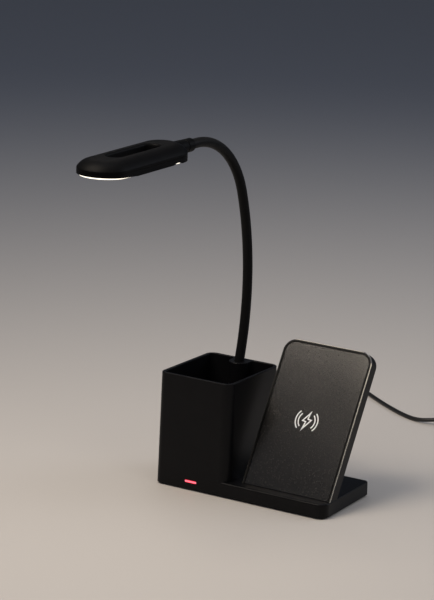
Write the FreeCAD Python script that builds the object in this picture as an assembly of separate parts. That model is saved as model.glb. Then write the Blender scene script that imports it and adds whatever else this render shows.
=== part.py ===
"""Desk lamp with a pen cup and a tilted phone charging panel on one base.

Millimetres, +Z up. X runs right along the front, Y runs to the back, and the
origin is the middle of the base's anti-slip mat, on the table.
"""
import FreeCAD, Part
import math
import os

V = FreeCAD.Vector

# Base and pen cup, one moulding
BASE_DEPTH = 76.6
BASE_HEIGHT = 12.3
BASE_WALL = 2.4
BASE_END_SLANT = 4.2
FRONT_LEFT_RADIUS = 5.5
FRONT_CORNER_RADIUS = 8.0
BACK_CORNER_RADIUS = 3.0
DRAFT_ANGLE = 0.5
SKIRT_GAP = 1.4
LIP_ROUNDING = 1.4
CUP_WIDTH = 66.3
CUP_HEIGHT = 91.3
CUP_WALL = 2.7
CUP_BACK_RADIUS = 7.0
RIM_ROUNDING = 0.6
CUP_FLOOR_ROUNDING = 2.0
CUT_OVERRUN = 1.0
SEAT_GAP = 0.3
LEVEL_TOLERANCE = 1e-4
SHORTEST_RUN = 1e-6
ARC_MIDDLE_SHARE = math.sqrt(0.5)

# Mat, bottom cover and its screws
MAT_THICKNESS = 1.4
MAT_INSET = 7.0
MAT_CORNER_RADIUS = 4.0
COVER_THICKNESS = 1.8
COVER_GAP = 0.25
POST_RADIUS = 3.2
POST_INSET = 7.0
MIDDLE_POST_OFFSET = 6.1
POST_CLEARANCE = 1.0
SCREW_RADIUS = 1.2
SCREW_HEAD_RADIUS = 2.2
SCREW_HEAD_HEIGHT = 1.1
SCREW_LENGTH = 6.0
SCREW_SLOT_WIDTH = 0.6
SCREW_SLOT_DEPTH = 0.5
SCREW_FIT = 0.15
SCREW_SLOT_SHARE = 0.7

# Ballast plate under the charging panel
BALLAST_THICKNESS = 5.0
BALLAST_CORNER_RADIUS = 3.0
BALLAST_PANEL_NOTCH = 20.0

# Main board, socket, indicator and touch sensor
BOARD_THICKNESS = 1.6
BOARD_LIFT = 1.4
BOARD_INSET = 3.0
BOARD_NOTCH = 12.0
BOARD_SCREW_LENGTH = 4.0
BOARD_SCREW_RADIUS = 0.9
BOARD_SCREW_HEAD_RADIUS = 1.6
BOARD_SCREW_HEAD_HEIGHT = 0.8
BOARD_POST_RADIUS = 2.2
BOARD_CHIP_SHARES = ((0.22, 0.45, 0.12), (0.5, 0.35, 0.16), (0.74, 0.6, 0.1))
SOCKET_WIDTH = 8.9
SOCKET_HEIGHT = 3.3
SOCKET_DEPTH = 7.4
SOCKET_WALL = 0.35
SOCKET_GAP = 0.3
INDICATOR_WIDTH = 10.5
INDICATOR_HEIGHT = 2.0
INDICATOR_AXIS_HEIGHT = 7.4
INDICATOR_PROUD = 0.15
INDICATOR_DEPTH = 3.2
INDICATOR_FIT = 0.1
INDICATOR_END_RADIUS = 0.85
LED_LENGTH = 3.2
LED_DEPTH = 2.0
LED_HEIGHT = 1.3
TOUCH_WIDTH = 16.0
TOUCH_HEIGHT = 5.0
TOUCH_THICKNESS = 0.3
TOUCH_OFFSET = 22.0

# Charging panel
PANEL_WIDTH = 79.1
PANEL_END_SETBACK = 0.9
PANEL_TO_CUP_GAP = 7.9
PANEL_LENGTH = 121.0
PANEL_THICKNESS = 10.0
PANEL_TILT = 60.3
PANEL_FRONT_SETBACK = 9.5
PANEL_CORNER_RADIUS = 10.5
PANEL_RIM = 2.0
PANEL_BEVEL = 0.6
PANEL_BACK_ROUNDING = 0.8
PANEL_BACK_WALL = 1.8
PANEL_SIDE_WALL = 3.2
PANEL_FOOT_SOLID = 16.0
FACE_THICKNESS = 2.0
FACE_SETBACK = 0.25
FACE_GROOVE = 0.5
FACE_FOOT_GAP = 0.3
CHARGE_COIL_RADIUS = 22.0
CHARGE_COIL_BORE = 10.0
CHARGE_COIL_THICKNESS = 1.4
CHARGE_COIL_HEIGHT = 62.0
FERRITE_SIDE = 50.0
FERRITE_THICKNESS = 0.8
FERRITE_PAD_RADIUS = 14.0
CHARGER_BOARD_LENGTH = 40.0
CHARGER_BOARD_DEPTH = 12.0
CHARGER_BOARD_THICKNESS = 1.2
CHARGER_BOARD_HEIGHT = 19.5
PANEL_POST_RADIUS = 2.6
PANEL_POST_SPACING = 50.0
PANEL_POST_SETBACK = 15.9
PANEL_SCREW_LENGTH = 7.0
LEAD_WIDTH = 4.0
LEAD_THICKNESS = 1.0
LEAD_SETBACK = 19.0

# Neck boss, ferrule, nut and lamp lead
BOSS_RADIUS = 8.2
BOSS_SETBACK = 6.3
BOSS_BLEND = 3.0
BOSS_SHELF_TOP = 80.0
BOSS_SHELF_THICKNESS = 10.0
BOSS_CHAMBER_RADIUS = 5.6
NECK_HOLE_GAP = 0.35
FERRULE_RADIUS = 3.5
FERRULE_FLANGE_RADIUS = 3.9
FERRULE_FLANGE_HEIGHT = 3.0
FERRULE_TAIL = 8.0
FERRULE_BORE = 1.6
FERRULE_FIT = 0.1
NUT_FLAT_RADIUS = 4.6
NUT_HEIGHT = 4.5
LAMP_LEAD_RADIUS = 1.2

# Gooseneck: its line lies in the plane of the cup's middle. A positive angle leans back.
NECK_RADIUS = 3.9
NECK_FOOT_RUN = 4.0
NECK_FOOT_BEND_RADIUS = 31.3
NECK_FOOT_ANGLE = 14.1
NECK_MAIN_BEND_RADIUS = 232.5
NECK_MAIN_ANGLE = -33.6
NECK_TOP_BEND_RADIUS = 74.5
NECK_TOP_ANGLE = -70.5
NECK_TOP_RUN = 7.0
NECK_LOWER_PIVOT = 40.0
NECK_UPPER_PIVOT = 157.0
NECK_PIVOT_GAP = 0.35
NECK_PIVOT_MARGIN = 6.0
CORE_RADIUS = 2.6
CORE_GAP = 0.15
CORE_BORE = 1.2

# Lamp head
HEAD_LENGTH = 115.6
HEAD_WIDTH = 40.0
HEAD_REAR_GAP = 21.7
HEAD_BELOW_AXIS = 4.8
HEAD_SIDE_HEIGHT = 6.3
HEAD_HEIGHT = 12.85
HEAD_CREST_WIDTH = 17.0
HEAD_WALL = 1.8
HEAD_PARTING = 4.4
HEAD_SLOT_LENGTH = 61.0
HEAD_SLOT_WIDTH = 13.0
HEAD_SLOT_WALL = 1.6
SLOT_ROUNDING = 1.9
FRONT_RELIEF_RISE = 2.1
FRONT_RELIEF_LENGTH = 35.0
FRONT_RELIEF_SHARE = 0.62
REAR_RELIEF_RISE = 0.9
REAR_RELIEF_LENGTH = 9.5
REAR_RELIEF_SHARE = 0.3
SIDE_NOTCH_RISE = 1.1
SIDE_NOTCH_LENGTH = 11.0
SIDE_NOTCH_SETBACK = 27.0
STUB_ROOT_RADIUS = 7.0
STUB_ROOT_LENGTH = 38.5
COLLAR_RADIUS = 5.35
COLLAR_LENGTH = 8.5
COLLAR_NECK_SETBACK = 1.3
COLLAR_GROOVE = 0.4
COLLAR_ROUNDING = 0.6
DIFFUSER_THICKNESS = 4.0
DIFFUSER_PROUD = 0.4
DIFFUSER_GAP = 0.2
DIFFUSER_ROUNDING = 0.8
DIFFUSER_RELIEF_RISE = 1.25
FRAME_RIB_WIDTH = 1.6
FRAME_RIB_ROW = 22.5
LED_BOARD_THICKNESS = 1.2
LED_BOARD_LIFT = 4.6
LED_BOARD_GAP = 0.8
LED_BOARD_SLOT_GAP = 1.4
HEAD_POST_RADIUS = 2.0
HEAD_POST_ROW = 31.5
HEAD_POST_SHARE = 0.6333
CHIP_LENGTH = 3.5
CHIP_WIDTH = 2.8
CHIP_HEIGHT = 0.7
CHIP_PITCH = 9.0
CHIPS_PER_ROW = 9
HEAD_FERRULE_LENGTH = 16.0
HEAD_SCREW_SETBACK = 9.0
HEAD_SCREW_RADIUS = 1.25
HEAD_LEAD_RADIUS = 1.1
HEAD_LEAD_GAP = 0.3

# Power cord with its plugs
CORD_DIAMETER = 3.4
CORD_FLOOR_HEIGHT = 1.75
PLUG_BODY_WIDTH = 12.4
PLUG_BODY_HEIGHT = 6.6
PLUG_BODY_LENGTH = 18.0
PLUG_BODY_RADIUS = 3.0
PLUG_BOOT_LENGTH = 14.0
PLUG_BOOT_RADIUS = 2.9
BOOT_END_RADIUS = 2.1
PLUG_TONGUE_WIDTH = 7.9
PLUG_TONGUE_HEIGHT = 2.3
PLUG_TONGUE_LENGTH = 6.0
PLUG_STANDOFF = 0.3
COIL_TURNS = 6
COIL_MIDDLE_RADIUS = 20.0
COIL_PITCH = 3.86
COIL_CENTRE_X = 44.8
COIL_CENTRE_Y = 274.6
COIL_START_ANGLE = -67.0
COIL_LEAST_GAP = 0.4
TAIL_RUN = 17.0
TAIL_SHARES = (1.0, 2.0, 2.8)
CORNER_REACH_SHARE = 0.45
ANGLE_STEP = 1e-4
STRAIGHT_TOLERANCE = 1e-9
TIE_THICKNESS = 0.8
TIE_GAP = 0.35
TIE_WIDTH = 6.0
FAR_PLUG_WIDTH = 15.5
FAR_PLUG_HEIGHT = 8.2
FAR_PLUG_LENGTH = 24.0
FAR_PLUG_RADIUS = 2.0
FAR_SHELL_WIDTH = 12.0
FAR_SHELL_HEIGHT = 4.5
FAR_SHELL_LENGTH = 12.0
FAR_SHELL_WALL = 0.4
FAR_TONGUE_SHARE = 0.45
FAR_WINDOW_SIDE = 2.2
FAR_WINDOW_OFFSET = 3.0
FAR_WINDOW_SETBACK = 4.2

# Places worked out from the sizes
BASE_LENGTH = CUP_WIDTH + PANEL_TO_CUP_GAP + PANEL_WIDTH + PANEL_END_SETBACK
BASE_RIGHT = BASE_LENGTH / 2
BASE_LEFT = -BASE_RIGHT
BASE_BACK = BASE_DEPTH / 2
BASE_FRONT = -BASE_BACK
DRAFT = math.tan(math.radians(DRAFT_ANGLE))
CUP_RIGHT = BASE_LEFT + CUP_WIDTH
CUP_MIDDLE_X = BASE_LEFT + CUP_WIDTH / 2
NECK_Y = BASE_BACK - DRAFT * CUP_HEIGHT - CUP_WALL - BOSS_SETBACK
COVER_TOP = MAT_THICKNESS + COVER_THICKNESS
CEILING = BASE_HEIGHT - BASE_WALL
BOARD_BOTTOM = COVER_TOP + BOARD_LIFT
BOARD_TOP = BOARD_BOTTOM + BOARD_THICKNESS
SOCKET_AXIS_HEIGHT = BOARD_TOP + SOCKET_HEIGHT / 2
SHELF_BOTTOM = BOSS_SHELF_TOP - BOSS_SHELF_THICKNESS
NECK_START = BOSS_SHELF_TOP + FERRULE_FLANGE_HEIGHT + SEAT_GAP
COIL_FLOOR = TIE_THICKNESS + TIE_GAP + CORD_DIAMETER / 2
COIL_HALF_SPREAD = COIL_TURNS * COIL_PITCH / 4
COIL_OUTER_RADIUS = COIL_MIDDLE_RADIUS + COIL_HALF_SPREAD
FAR_AXIS_HEIGHT = FAR_PLUG_HEIGHT / 2
CORD_EXIT_Y = BASE_BACK + PLUG_STANDOFF + PLUG_BODY_LENGTH + PLUG_BOOT_LENGTH

# The cord's way across the table, chosen by hand, from the boot to the coil
CORD_ROUTE = [
    (CUP_MIDDLE_X, CORD_EXIT_Y, SOCKET_AXIS_HEIGHT),
    (CUP_MIDDLE_X, 82.0, SOCKET_AXIS_HEIGHT),
    (-43.9, 104.0, 3.0),
    (-45.5, 129.0, CORD_FLOOR_HEIGHT),
    (-49.5, 156.0, CORD_FLOOR_HEIGHT),
    (-58.5, 187.0, CORD_FLOOR_HEIGHT),
    (-71.0, 219.0, CORD_FLOOR_HEIGHT),
    (-85.0, 247.0, CORD_FLOOR_HEIGHT),
    (-95.0, 264.3, CORD_FLOOR_HEIGHT),
    (-94.6, 275.0, CORD_FLOOR_HEIGHT),
    (-88.8, 284.0, CORD_FLOOR_HEIGHT),
    (-79.1, 288.5, CORD_FLOOR_HEIGHT),
    (-68.5, 287.4, CORD_FLOOR_HEIGHT),
    (-52.8, 274.9, CORD_FLOOR_HEIGHT),
    (-30.0, 258.6, CORD_FLOOR_HEIGHT),
    (-8.0, 245.2, CORD_FLOOR_HEIGHT),
    (8.5, 239.2, 1.9),
    (24.5, 240.4, 4.9),
]


def box(x0, x1, y0, y1, z0, z1):
    return Part.makeBox(x1 - x0, y1 - y0, z1 - z0, V(x0, y0, z0))


def cylinder(radius, x, y, z0, z1):
    return Part.makeCylinder(radius, z1 - z0, V(x, y, z0))


def outline(x0, x1, y0, y1, radii, z, slant=0):
    """Rectangle with its own corner radii: front left, front right, back right, back left.

    A slant draws the back right corner in, so that the right end leans in towards the back.
    """
    corners = [V(x0, y0, z), V(x1, y0, z), V(x1 - slant, y1, z), V(x0, y1, z)]
    edges = []
    starts = []
    middles = []
    ends = []
    for i in range(4):
        way_in = (corners[i] - corners[i - 1]).normalize()
        way_out = (corners[(i + 1) % 4] - corners[i]).normalize()
        half_turn = way_in.getAngle(way_out) / 2
        reach = radii[i] * math.tan(half_turn)
        inward = (way_out - way_in).normalize()
        starts.append(corners[i] - way_in * reach)
        middles.append(corners[i] + inward * (radii[i] / math.cos(half_turn) - radii[i]))
        ends.append(corners[i] + way_out * reach)
    for i in range(4):
        if radii[i] > 0:
            edges.append(Part.Arc(starts[i], middles[i], ends[i]).toShape())
        following = starts[(i + 1) % 4]
        if (following - ends[i]).Length > SHORTEST_RUN:
            edges.append(Part.LineSegment(ends[i], following).toShape())
    return Part.Wire(Part.__sortEdges__(edges))


def plate(x0, x1, y0, y1, radii, z0, z1):
    face = Part.Face(outline(x0, x1, y0, y1, radii, z0))
    return face.extrude(V(0, 0, z1 - z0))


def upright_plate(x0, x1, z0, z1, radius, y0, y1):
    """Plate whose outline stands upright, seen from the front, from y0 back to y1."""
    flat = plate(x0, x1, z0, z1, (radius,) * 4, -y1, -y0)
    flat.rotate(V(0, 0, 0), V(1, 0, 0), 90)
    return flat


def drafted(x0, x1, y0, y1, radii, z0, z1):
    """Block whose four sides lean in as they rise."""
    lower = DRAFT * z0
    upper = DRAFT * z1
    first = outline(x0 + lower, x1 - lower, y0 + lower, y1 - lower, radii, z0)
    last = outline(x0 + upper, x1 - upper, y0 + upper, y1 - upper, radii, z1)
    return Part.makeLoft([first, last], True, True)


def base_outline(inset, radii, z):
    """The base's plan, drawn in by an inset on all four sides."""
    lean = BASE_END_SLANT / BASE_DEPTH
    right = BASE_RIGHT - inset * (math.hypot(1, lean) + lean)
    return outline(BASE_LEFT + inset, right, BASE_FRONT + inset, BASE_BACK - inset, radii, z,
                   lean * (BASE_DEPTH - inset * 2))


def base_plate(inset, radii, z0, z1):
    return Part.Face(base_outline(inset, radii, z0)).extrude(V(0, 0, z1 - z0))


def edges_at(shape, z, inside):
    """Edges that lie level at height z and whose middle passes the test."""
    found = []
    for edge in shape.Edges:
        bounds = edge.BoundBox
        if abs(bounds.ZMin - z) < LEVEL_TOLERANCE and abs(bounds.ZMax - z) < LEVEL_TOLERANCE:
            if inside(bounds.Center):
                found.append(edge)
    return found


def screw(x, y, z, radius, head_radius, head_height, length):
    """Pan-head screw driven upwards, its head's seat at height z, with a cross slot."""
    body = cylinder(head_radius, x, y, z - head_height, z)
    body = body.fuse(cylinder(radius, x, y, z, z + length))
    half = SCREW_SLOT_WIDTH / 2
    low = z - head_height
    reach = head_radius * SCREW_SLOT_SHARE
    for dx, dy in ((reach, half), (half, reach)):
        body = body.cut(box(x - dx, x + dx, y - dy, y + dy, low - CUT_OVERRUN, low + SCREW_SLOT_DEPTH))
    return body.removeSplitter()


def cover_screw_places():
    """Two rows of three, just inside the base's walls."""
    xs = (BASE_LEFT + POST_INSET, CUP_RIGHT + MIDDLE_POST_OFFSET, BASE_RIGHT - BASE_END_SLANT - POST_INSET)
    ys = (BASE_FRONT + POST_INSET, BASE_BACK - POST_INSET)
    return [(x, y) for x in xs for y in ys]


def board_places():
    """Corners of the main board's four screws."""
    x0 = BASE_LEFT + BASE_WALL + BOARD_NOTCH
    x1 = CUP_RIGHT - BOARD_NOTCH
    y0 = BASE_FRONT + BASE_WALL + BOARD_NOTCH / 2
    y1 = BASE_BACK - BASE_WALL - BOARD_NOTCH / 2
    return [(x, y) for x in (x0, x1) for y in (y0, y1)]


def boss_block(z0, z1, radius, blend):
    """Half-round column on the cup's back wall, blended into the wall by two hollow arcs."""
    wall_y = NECK_Y + BOSS_SETBACK
    x = CUP_MIDDLE_X
    turn = blend * (1 - ARC_MIDDLE_SHARE)
    outer = radius + blend
    back = wall_y + CUP_WALL / 2
    points = [V(x - outer, back, z0), V(x - outer, wall_y, z0), V(x - radius, wall_y - blend, z0),
              V(x - radius, NECK_Y, z0), V(x + radius, NECK_Y, z0), V(x + radius, wall_y - blend, z0),
              V(x + outer, wall_y, z0), V(x + outer, back, z0)]
    left_middle = V(x - radius - turn, wall_y - turn, z0)
    right_middle = V(x + radius + turn, wall_y - turn, z0)
    front = V(x, NECK_Y - radius, z0)
    edges = [Part.LineSegment(points[0], points[1]).toShape(),
             Part.Arc(points[1], left_middle, points[2]).toShape(),
             Part.LineSegment(points[2], points[3]).toShape(),
             Part.Arc(points[3], front, points[4]).toShape(),
             Part.LineSegment(points[4], points[5]).toShape(),
             Part.Arc(points[5], right_middle, points[6]).toShape(),
             Part.LineSegment(points[6], points[7]).toShape(),
             Part.LineSegment(points[7], points[0]).toShape()]
    return Part.Face(Part.Wire(edges)).extrude(V(0, 0, z1 - z0))


def panel_place(shape):
    """Turns a panel piece, drawn flat with its front at z = 0, up to its place on the base."""
    placed = shape.copy()
    placed.rotate(V(0, 0, 0), V(1, 0, 0), PANEL_TILT)
    placed.translate(V(panel_middle_x(), BASE_FRONT + PANEL_FRONT_SETBACK, BASE_HEIGHT))
    return placed


def panel_middle_x():
    return BASE_RIGHT - PANEL_END_SETBACK - PANEL_WIDTH / 2


def panel_post_places():
    y = BASE_FRONT + PANEL_POST_SETBACK
    half = PANEL_POST_SPACING / 2
    return [(panel_middle_x() - half, y), (panel_middle_x() + half, y)]


def make_body_shell():
    slab_radii = (FRONT_LEFT_RADIUS, FRONT_CORNER_RADIUS, BACK_CORNER_RADIUS, CUP_BACK_RADIUS)
    slab = Part.makeLoft([base_outline(DRAFT * z, slab_radii, z) for z in (SKIRT_GAP, BASE_HEIGHT)], True, True)
    slab = slab.makeFillet(LIP_ROUNDING, edges_at(slab, BASE_HEIGHT, lambda c: True))
    cup_radii = (FRONT_LEFT_RADIUS, FRONT_CORNER_RADIUS, CUP_BACK_RADIUS, CUP_BACK_RADIUS)
    cup = drafted(BASE_LEFT, CUP_RIGHT, BASE_FRONT, BASE_BACK, cup_radii, SKIRT_GAP, CUP_HEIGHT)
    inner_radii = tuple(r - CUP_WALL for r in cup_radii)
    inset = CUP_WALL + DRAFT * CUP_HEIGHT
    hollow = plate(BASE_LEFT + inset, CUP_RIGHT - inset, BASE_FRONT + inset, BASE_BACK - inset,
                   inner_radii, BASE_HEIGHT, CUP_HEIGHT + CUT_OVERRUN)
    hollow = hollow.makeFillet(CUP_FLOOR_ROUNDING, edges_at(hollow, BASE_HEIGHT, lambda c: True))
    hollow = hollow.cut(boss_block(BASE_HEIGHT - CUT_OVERRUN, CUP_HEIGHT + CUT_OVERRUN * 2,
                                   BOSS_RADIUS, BOSS_BLEND))
    shell = slab.fuse(cup).removeSplitter()
    shell = shell.cut(hollow)
    rim = edges_at(shell, CUP_HEIGHT, lambda c: True)
    shell = shell.makeFillet(RIM_ROUNDING, rim)
    wall = BASE_WALL
    under_radii = tuple(r - wall for r in slab_radii)
    shell = shell.cut(base_plate(wall, under_radii, SKIRT_GAP - CUT_OVERRUN, CEILING))
    for x, y in cover_screw_places():
        shell = shell.fuse(cylinder(POST_RADIUS, x, y, COVER_TOP, CEILING))
    for x, y in board_places():
        shell = shell.fuse(cylinder(BOARD_POST_RADIUS, x, y, BOARD_TOP, CEILING))
    cuts = []
    for x, y in cover_screw_places():
        cuts.append(cylinder(SCREW_RADIUS + SCREW_FIT, x, y, COVER_TOP - CUT_OVERRUN, CEILING))
    for x, y in board_places():
        cuts.append(cylinder(BOARD_SCREW_RADIUS + SCREW_FIT, x, y, BOARD_TOP - CUT_OVERRUN,
                             BOARD_TOP + BOARD_SCREW_LENGTH - CUT_OVERRUN))
    for x, y in panel_post_places():
        cuts.append(cylinder(PANEL_POST_RADIUS + SCREW_FIT, x, y, CEILING - CUT_OVERRUN,
                             BASE_HEIGHT + CUT_OVERRUN))
    x = CUP_MIDDLE_X
    cuts.append(cylinder(NECK_RADIUS + NECK_HOLE_GAP, x, NECK_Y, BOSS_SHELF_TOP, CUP_HEIGHT + CUT_OVERRUN))
    cuts.append(cylinder(FERRULE_RADIUS + FERRULE_FIT, x, NECK_Y, SHELF_BOTTOM - CUT_OVERRUN,
                         BOSS_SHELF_TOP + CUT_OVERRUN))
    cuts.append(cylinder(BOSS_CHAMBER_RADIUS, x, NECK_Y, CEILING - CUT_OVERRUN, SHELF_BOTTOM))
    half = SOCKET_WIDTH / 2 + SOCKET_GAP
    tall = SOCKET_HEIGHT / 2 + SOCKET_GAP
    cuts.append(box(x - half, x + half, BASE_BACK - wall - CUT_OVERRUN, BASE_BACK + CUT_OVERRUN,
                    SOCKET_AXIS_HEIGHT - tall, SOCKET_AXIS_HEIGHT + tall))
    half = INDICATOR_WIDTH / 2
    tall = INDICATOR_HEIGHT / 2
    cuts.append(upright_plate(x - half, x + half, INDICATOR_AXIS_HEIGHT - tall, INDICATOR_AXIS_HEIGHT + tall,
                              INDICATOR_END_RADIUS, BASE_FRONT - CUT_OVERRUN, BASE_FRONT + wall + CUT_OVERRUN))
    half = LEAD_WIDTH / 2 + SEAT_GAP
    lead_x = panel_middle_x()
    foot_y = lead_foot()
    cuts.append(box(lead_x - half, lead_x + half, foot_y - LEAD_THICKNESS, foot_y + LEAD_THICKNESS,
                    CEILING - CUT_OVERRUN, BASE_HEIGHT + CUT_OVERRUN))
    return shell.cut(cuts)


def make_bottom_cover():
    inset = BASE_WALL + COVER_GAP
    radii = (FRONT_LEFT_RADIUS - inset, FRONT_CORNER_RADIUS - inset, BACK_CORNER_RADIUS - inset,
             CUP_BACK_RADIUS - inset)
    cover = base_plate(inset, radii, MAT_THICKNESS, COVER_TOP)
    for x, y in cover_screw_places():
        cover = cover.cut(cylinder(SCREW_RADIUS + SCREW_FIT, x, y, 0, COVER_TOP + CUT_OVERRUN))
        seat = MAT_THICKNESS + SCREW_HEAD_HEIGHT
        cover = cover.cut(cylinder(SCREW_HEAD_RADIUS + SCREW_FIT, x, y, 0, seat))
    return cover


def make_antislip_mat():
    return base_plate(BASE_WALL + MAT_INSET, (MAT_CORNER_RADIUS,) * 4, 0, MAT_THICKNESS)


def make_cover_screws():
    seat = MAT_THICKNESS + SCREW_HEAD_HEIGHT
    return Part.Compound([screw(x, y, seat, SCREW_RADIUS, SCREW_HEAD_RADIUS, SCREW_HEAD_HEIGHT, SCREW_LENGTH)
                          for x, y in cover_screw_places()])


def make_ballast_plate():
    """Steel block behind the panel's posts, resting on the cover."""
    x0 = CUP_RIGHT + MIDDLE_POST_OFFSET + POST_RADIUS + POST_CLEARANCE
    x1 = BASE_RIGHT - BASE_END_SLANT - POST_INSET - POST_RADIUS - POST_CLEARANCE
    y0 = BASE_FRONT + BALLAST_PANEL_NOTCH + SEAT_GAP
    y1 = BASE_BACK - BASE_WALL - SEAT_GAP
    corner = BALLAST_CORNER_RADIUS
    block = plate(x0, x1, y0, y1, (corner,) * 4, COVER_TOP, COVER_TOP + BALLAST_THICKNESS)
    return block


def make_main_board():
    inset = BASE_WALL + BOARD_INSET
    x0 = BASE_LEFT + inset
    x1 = CUP_RIGHT - BOARD_INSET
    y0 = BASE_FRONT + BASE_WALL + SEAT_GAP
    y1 = BASE_BACK - BASE_WALL - SEAT_GAP
    board = box(x0, x1, y0, y1, BOARD_BOTTOM, BOARD_TOP)
    notch = POST_INSET + POST_RADIUS + SEAT_GAP
    low, high = BOARD_BOTTOM - CUT_OVERRUN, BOARD_TOP + CUT_OVERRUN
    corners = [(BASE_LEFT, BASE_LEFT + notch, BASE_FRONT, BASE_FRONT + notch),
               (BASE_LEFT, BASE_LEFT + notch, BASE_BACK - notch, BASE_BACK)]
    for corner in corners:
        board = board.cut(box(*corner, low, high))
    for x, y in board_places():
        board = board.cut(cylinder(BOARD_SCREW_RADIUS + SCREW_FIT, x, y, low, high))
    parts = [board]
    part_height = CEILING - BOARD_TOP - SEAT_GAP
    for share_x, share_y, side_share in BOARD_CHIP_SHARES:
        cx = x0 + (x1 - x0) * share_x
        cy = y0 + (y1 - y0) * share_y
        side = (x1 - x0) * side_share / 2
        parts.append(box(cx - side, cx + side, cy - side, cy + side, BOARD_TOP, BOARD_TOP + part_height / 2))
    return parts[0].multiFuse(parts[1:])


def make_board_screws():
    return Part.Compound([screw(x, y, BOARD_BOTTOM, BOARD_SCREW_RADIUS, BOARD_SCREW_HEAD_RADIUS,
                                BOARD_SCREW_HEAD_HEIGHT, BOARD_SCREW_LENGTH) for x, y in board_places()])


def make_power_socket():
    """Metal socket shell with its contact tongue, on the board's back edge."""
    half, tall = SOCKET_WIDTH / 2, SOCKET_HEIGHT / 2
    x, z = CUP_MIDDLE_X, SOCKET_AXIS_HEIGHT
    y1 = BASE_BACK - SOCKET_GAP
    y0 = y1 - SOCKET_DEPTH
    body = box(x - half, x + half, y0, y1, z - tall, z + tall)
    inner_half, inner_tall = half - SOCKET_WALL, tall - SOCKET_WALL
    body = body.cut(box(x - inner_half, x + inner_half, y0 + SOCKET_WALL, y1 + CUT_OVERRUN,
                        z - inner_tall, z + inner_tall))
    return body


def make_indicator_window():
    half = INDICATOR_WIDTH / 2 - INDICATOR_FIT
    tall = INDICATOR_HEIGHT / 2 - INDICATOR_FIT
    x = CUP_MIDDLE_X
    face = BASE_FRONT + DRAFT * INDICATOR_AXIS_HEIGHT - INDICATOR_PROUD
    return upright_plate(x - half, x + half, INDICATOR_AXIS_HEIGHT - tall, INDICATOR_AXIS_HEIGHT + tall,
                         INDICATOR_END_RADIUS - INDICATOR_FIT, face, face + INDICATOR_DEPTH)


def make_indicator_led():
    x = CUP_MIDDLE_X
    back_of_window = BASE_FRONT + DRAFT * INDICATOR_AXIS_HEIGHT - INDICATOR_PROUD + INDICATOR_DEPTH
    y0 = back_of_window + INDICATOR_FIT
    return box(x - LED_LENGTH / 2, x + LED_LENGTH / 2, y0, y0 + LED_DEPTH, BOARD_TOP, BOARD_TOP + LED_HEIGHT)


def make_touch_sensor():
    x = CUP_MIDDLE_X - TOUCH_OFFSET + TOUCH_WIDTH / 2
    y0 = BASE_FRONT + BASE_WALL
    top = CEILING - SEAT_GAP
    bottom = BOARD_TOP
    strip = box(x - TOUCH_WIDTH / 2, x + TOUCH_WIDTH / 2, y0, y0 + TOUCH_THICKNESS, bottom, top)
    tab = box(x, x + TOUCH_HEIGHT / 2, y0, y0 + TOUCH_HEIGHT, bottom, bottom + TOUCH_THICKNESS)
    return strip.fuse(tab).removeSplitter()


def make_neck_ferrule():
    x = CUP_MIDDLE_X
    low = SHELF_BOTTOM - FERRULE_TAIL
    top = BOSS_SHELF_TOP + FERRULE_FLANGE_HEIGHT
    body = cylinder(FERRULE_RADIUS, x, NECK_Y, low, top)
    body = body.fuse(cylinder(FERRULE_FLANGE_RADIUS, x, NECK_Y, BOSS_SHELF_TOP, top))
    return body.cut(cylinder(FERRULE_BORE, x, NECK_Y, low - CUT_OVERRUN, top + CUT_OVERRUN)).removeSplitter()


def hexagon(radius, bore, height):
    """Hexagonal nut standing on z = 0; radius is half the width across its flats."""
    corner = radius / math.cos(math.pi / 6)
    points = [V(corner * math.cos(math.pi / 3 * i), corner * math.sin(math.pi / 3 * i), 0) for i in range(7)]
    nut = Part.Face(Part.makePolygon(points)).extrude(V(0, 0, height))
    return nut.cut(Part.makeCylinder(bore, height + CUT_OVERRUN * 2, V(0, 0, -CUT_OVERRUN)))


def make_neck_nut():
    nut = hexagon(NUT_FLAT_RADIUS, FERRULE_RADIUS + FERRULE_FIT, NUT_HEIGHT)
    nut.translate(V(CUP_MIDDLE_X, NECK_Y, SHELF_BOTTOM - NUT_HEIGHT))
    return nut


def make_lamp_lead():
    """Two-core lead that hangs in the boss from the ferrule's bore to the board."""
    top = SHELF_BOTTOM
    return cylinder(LAMP_LEAD_RADIUS, CUP_MIDDLE_X, NECK_Y, BOARD_TOP, top)


def flat_panel(inset, z0, z1, low, radius):
    """Panel-shaped plate drawn flat: its foot at y = low, its top rounded."""
    half = PANEL_WIDTH / 2 - inset
    return plate(-half, half, low, PANEL_LENGTH - inset, (0, 0, radius, radius), z0, z1)


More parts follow.
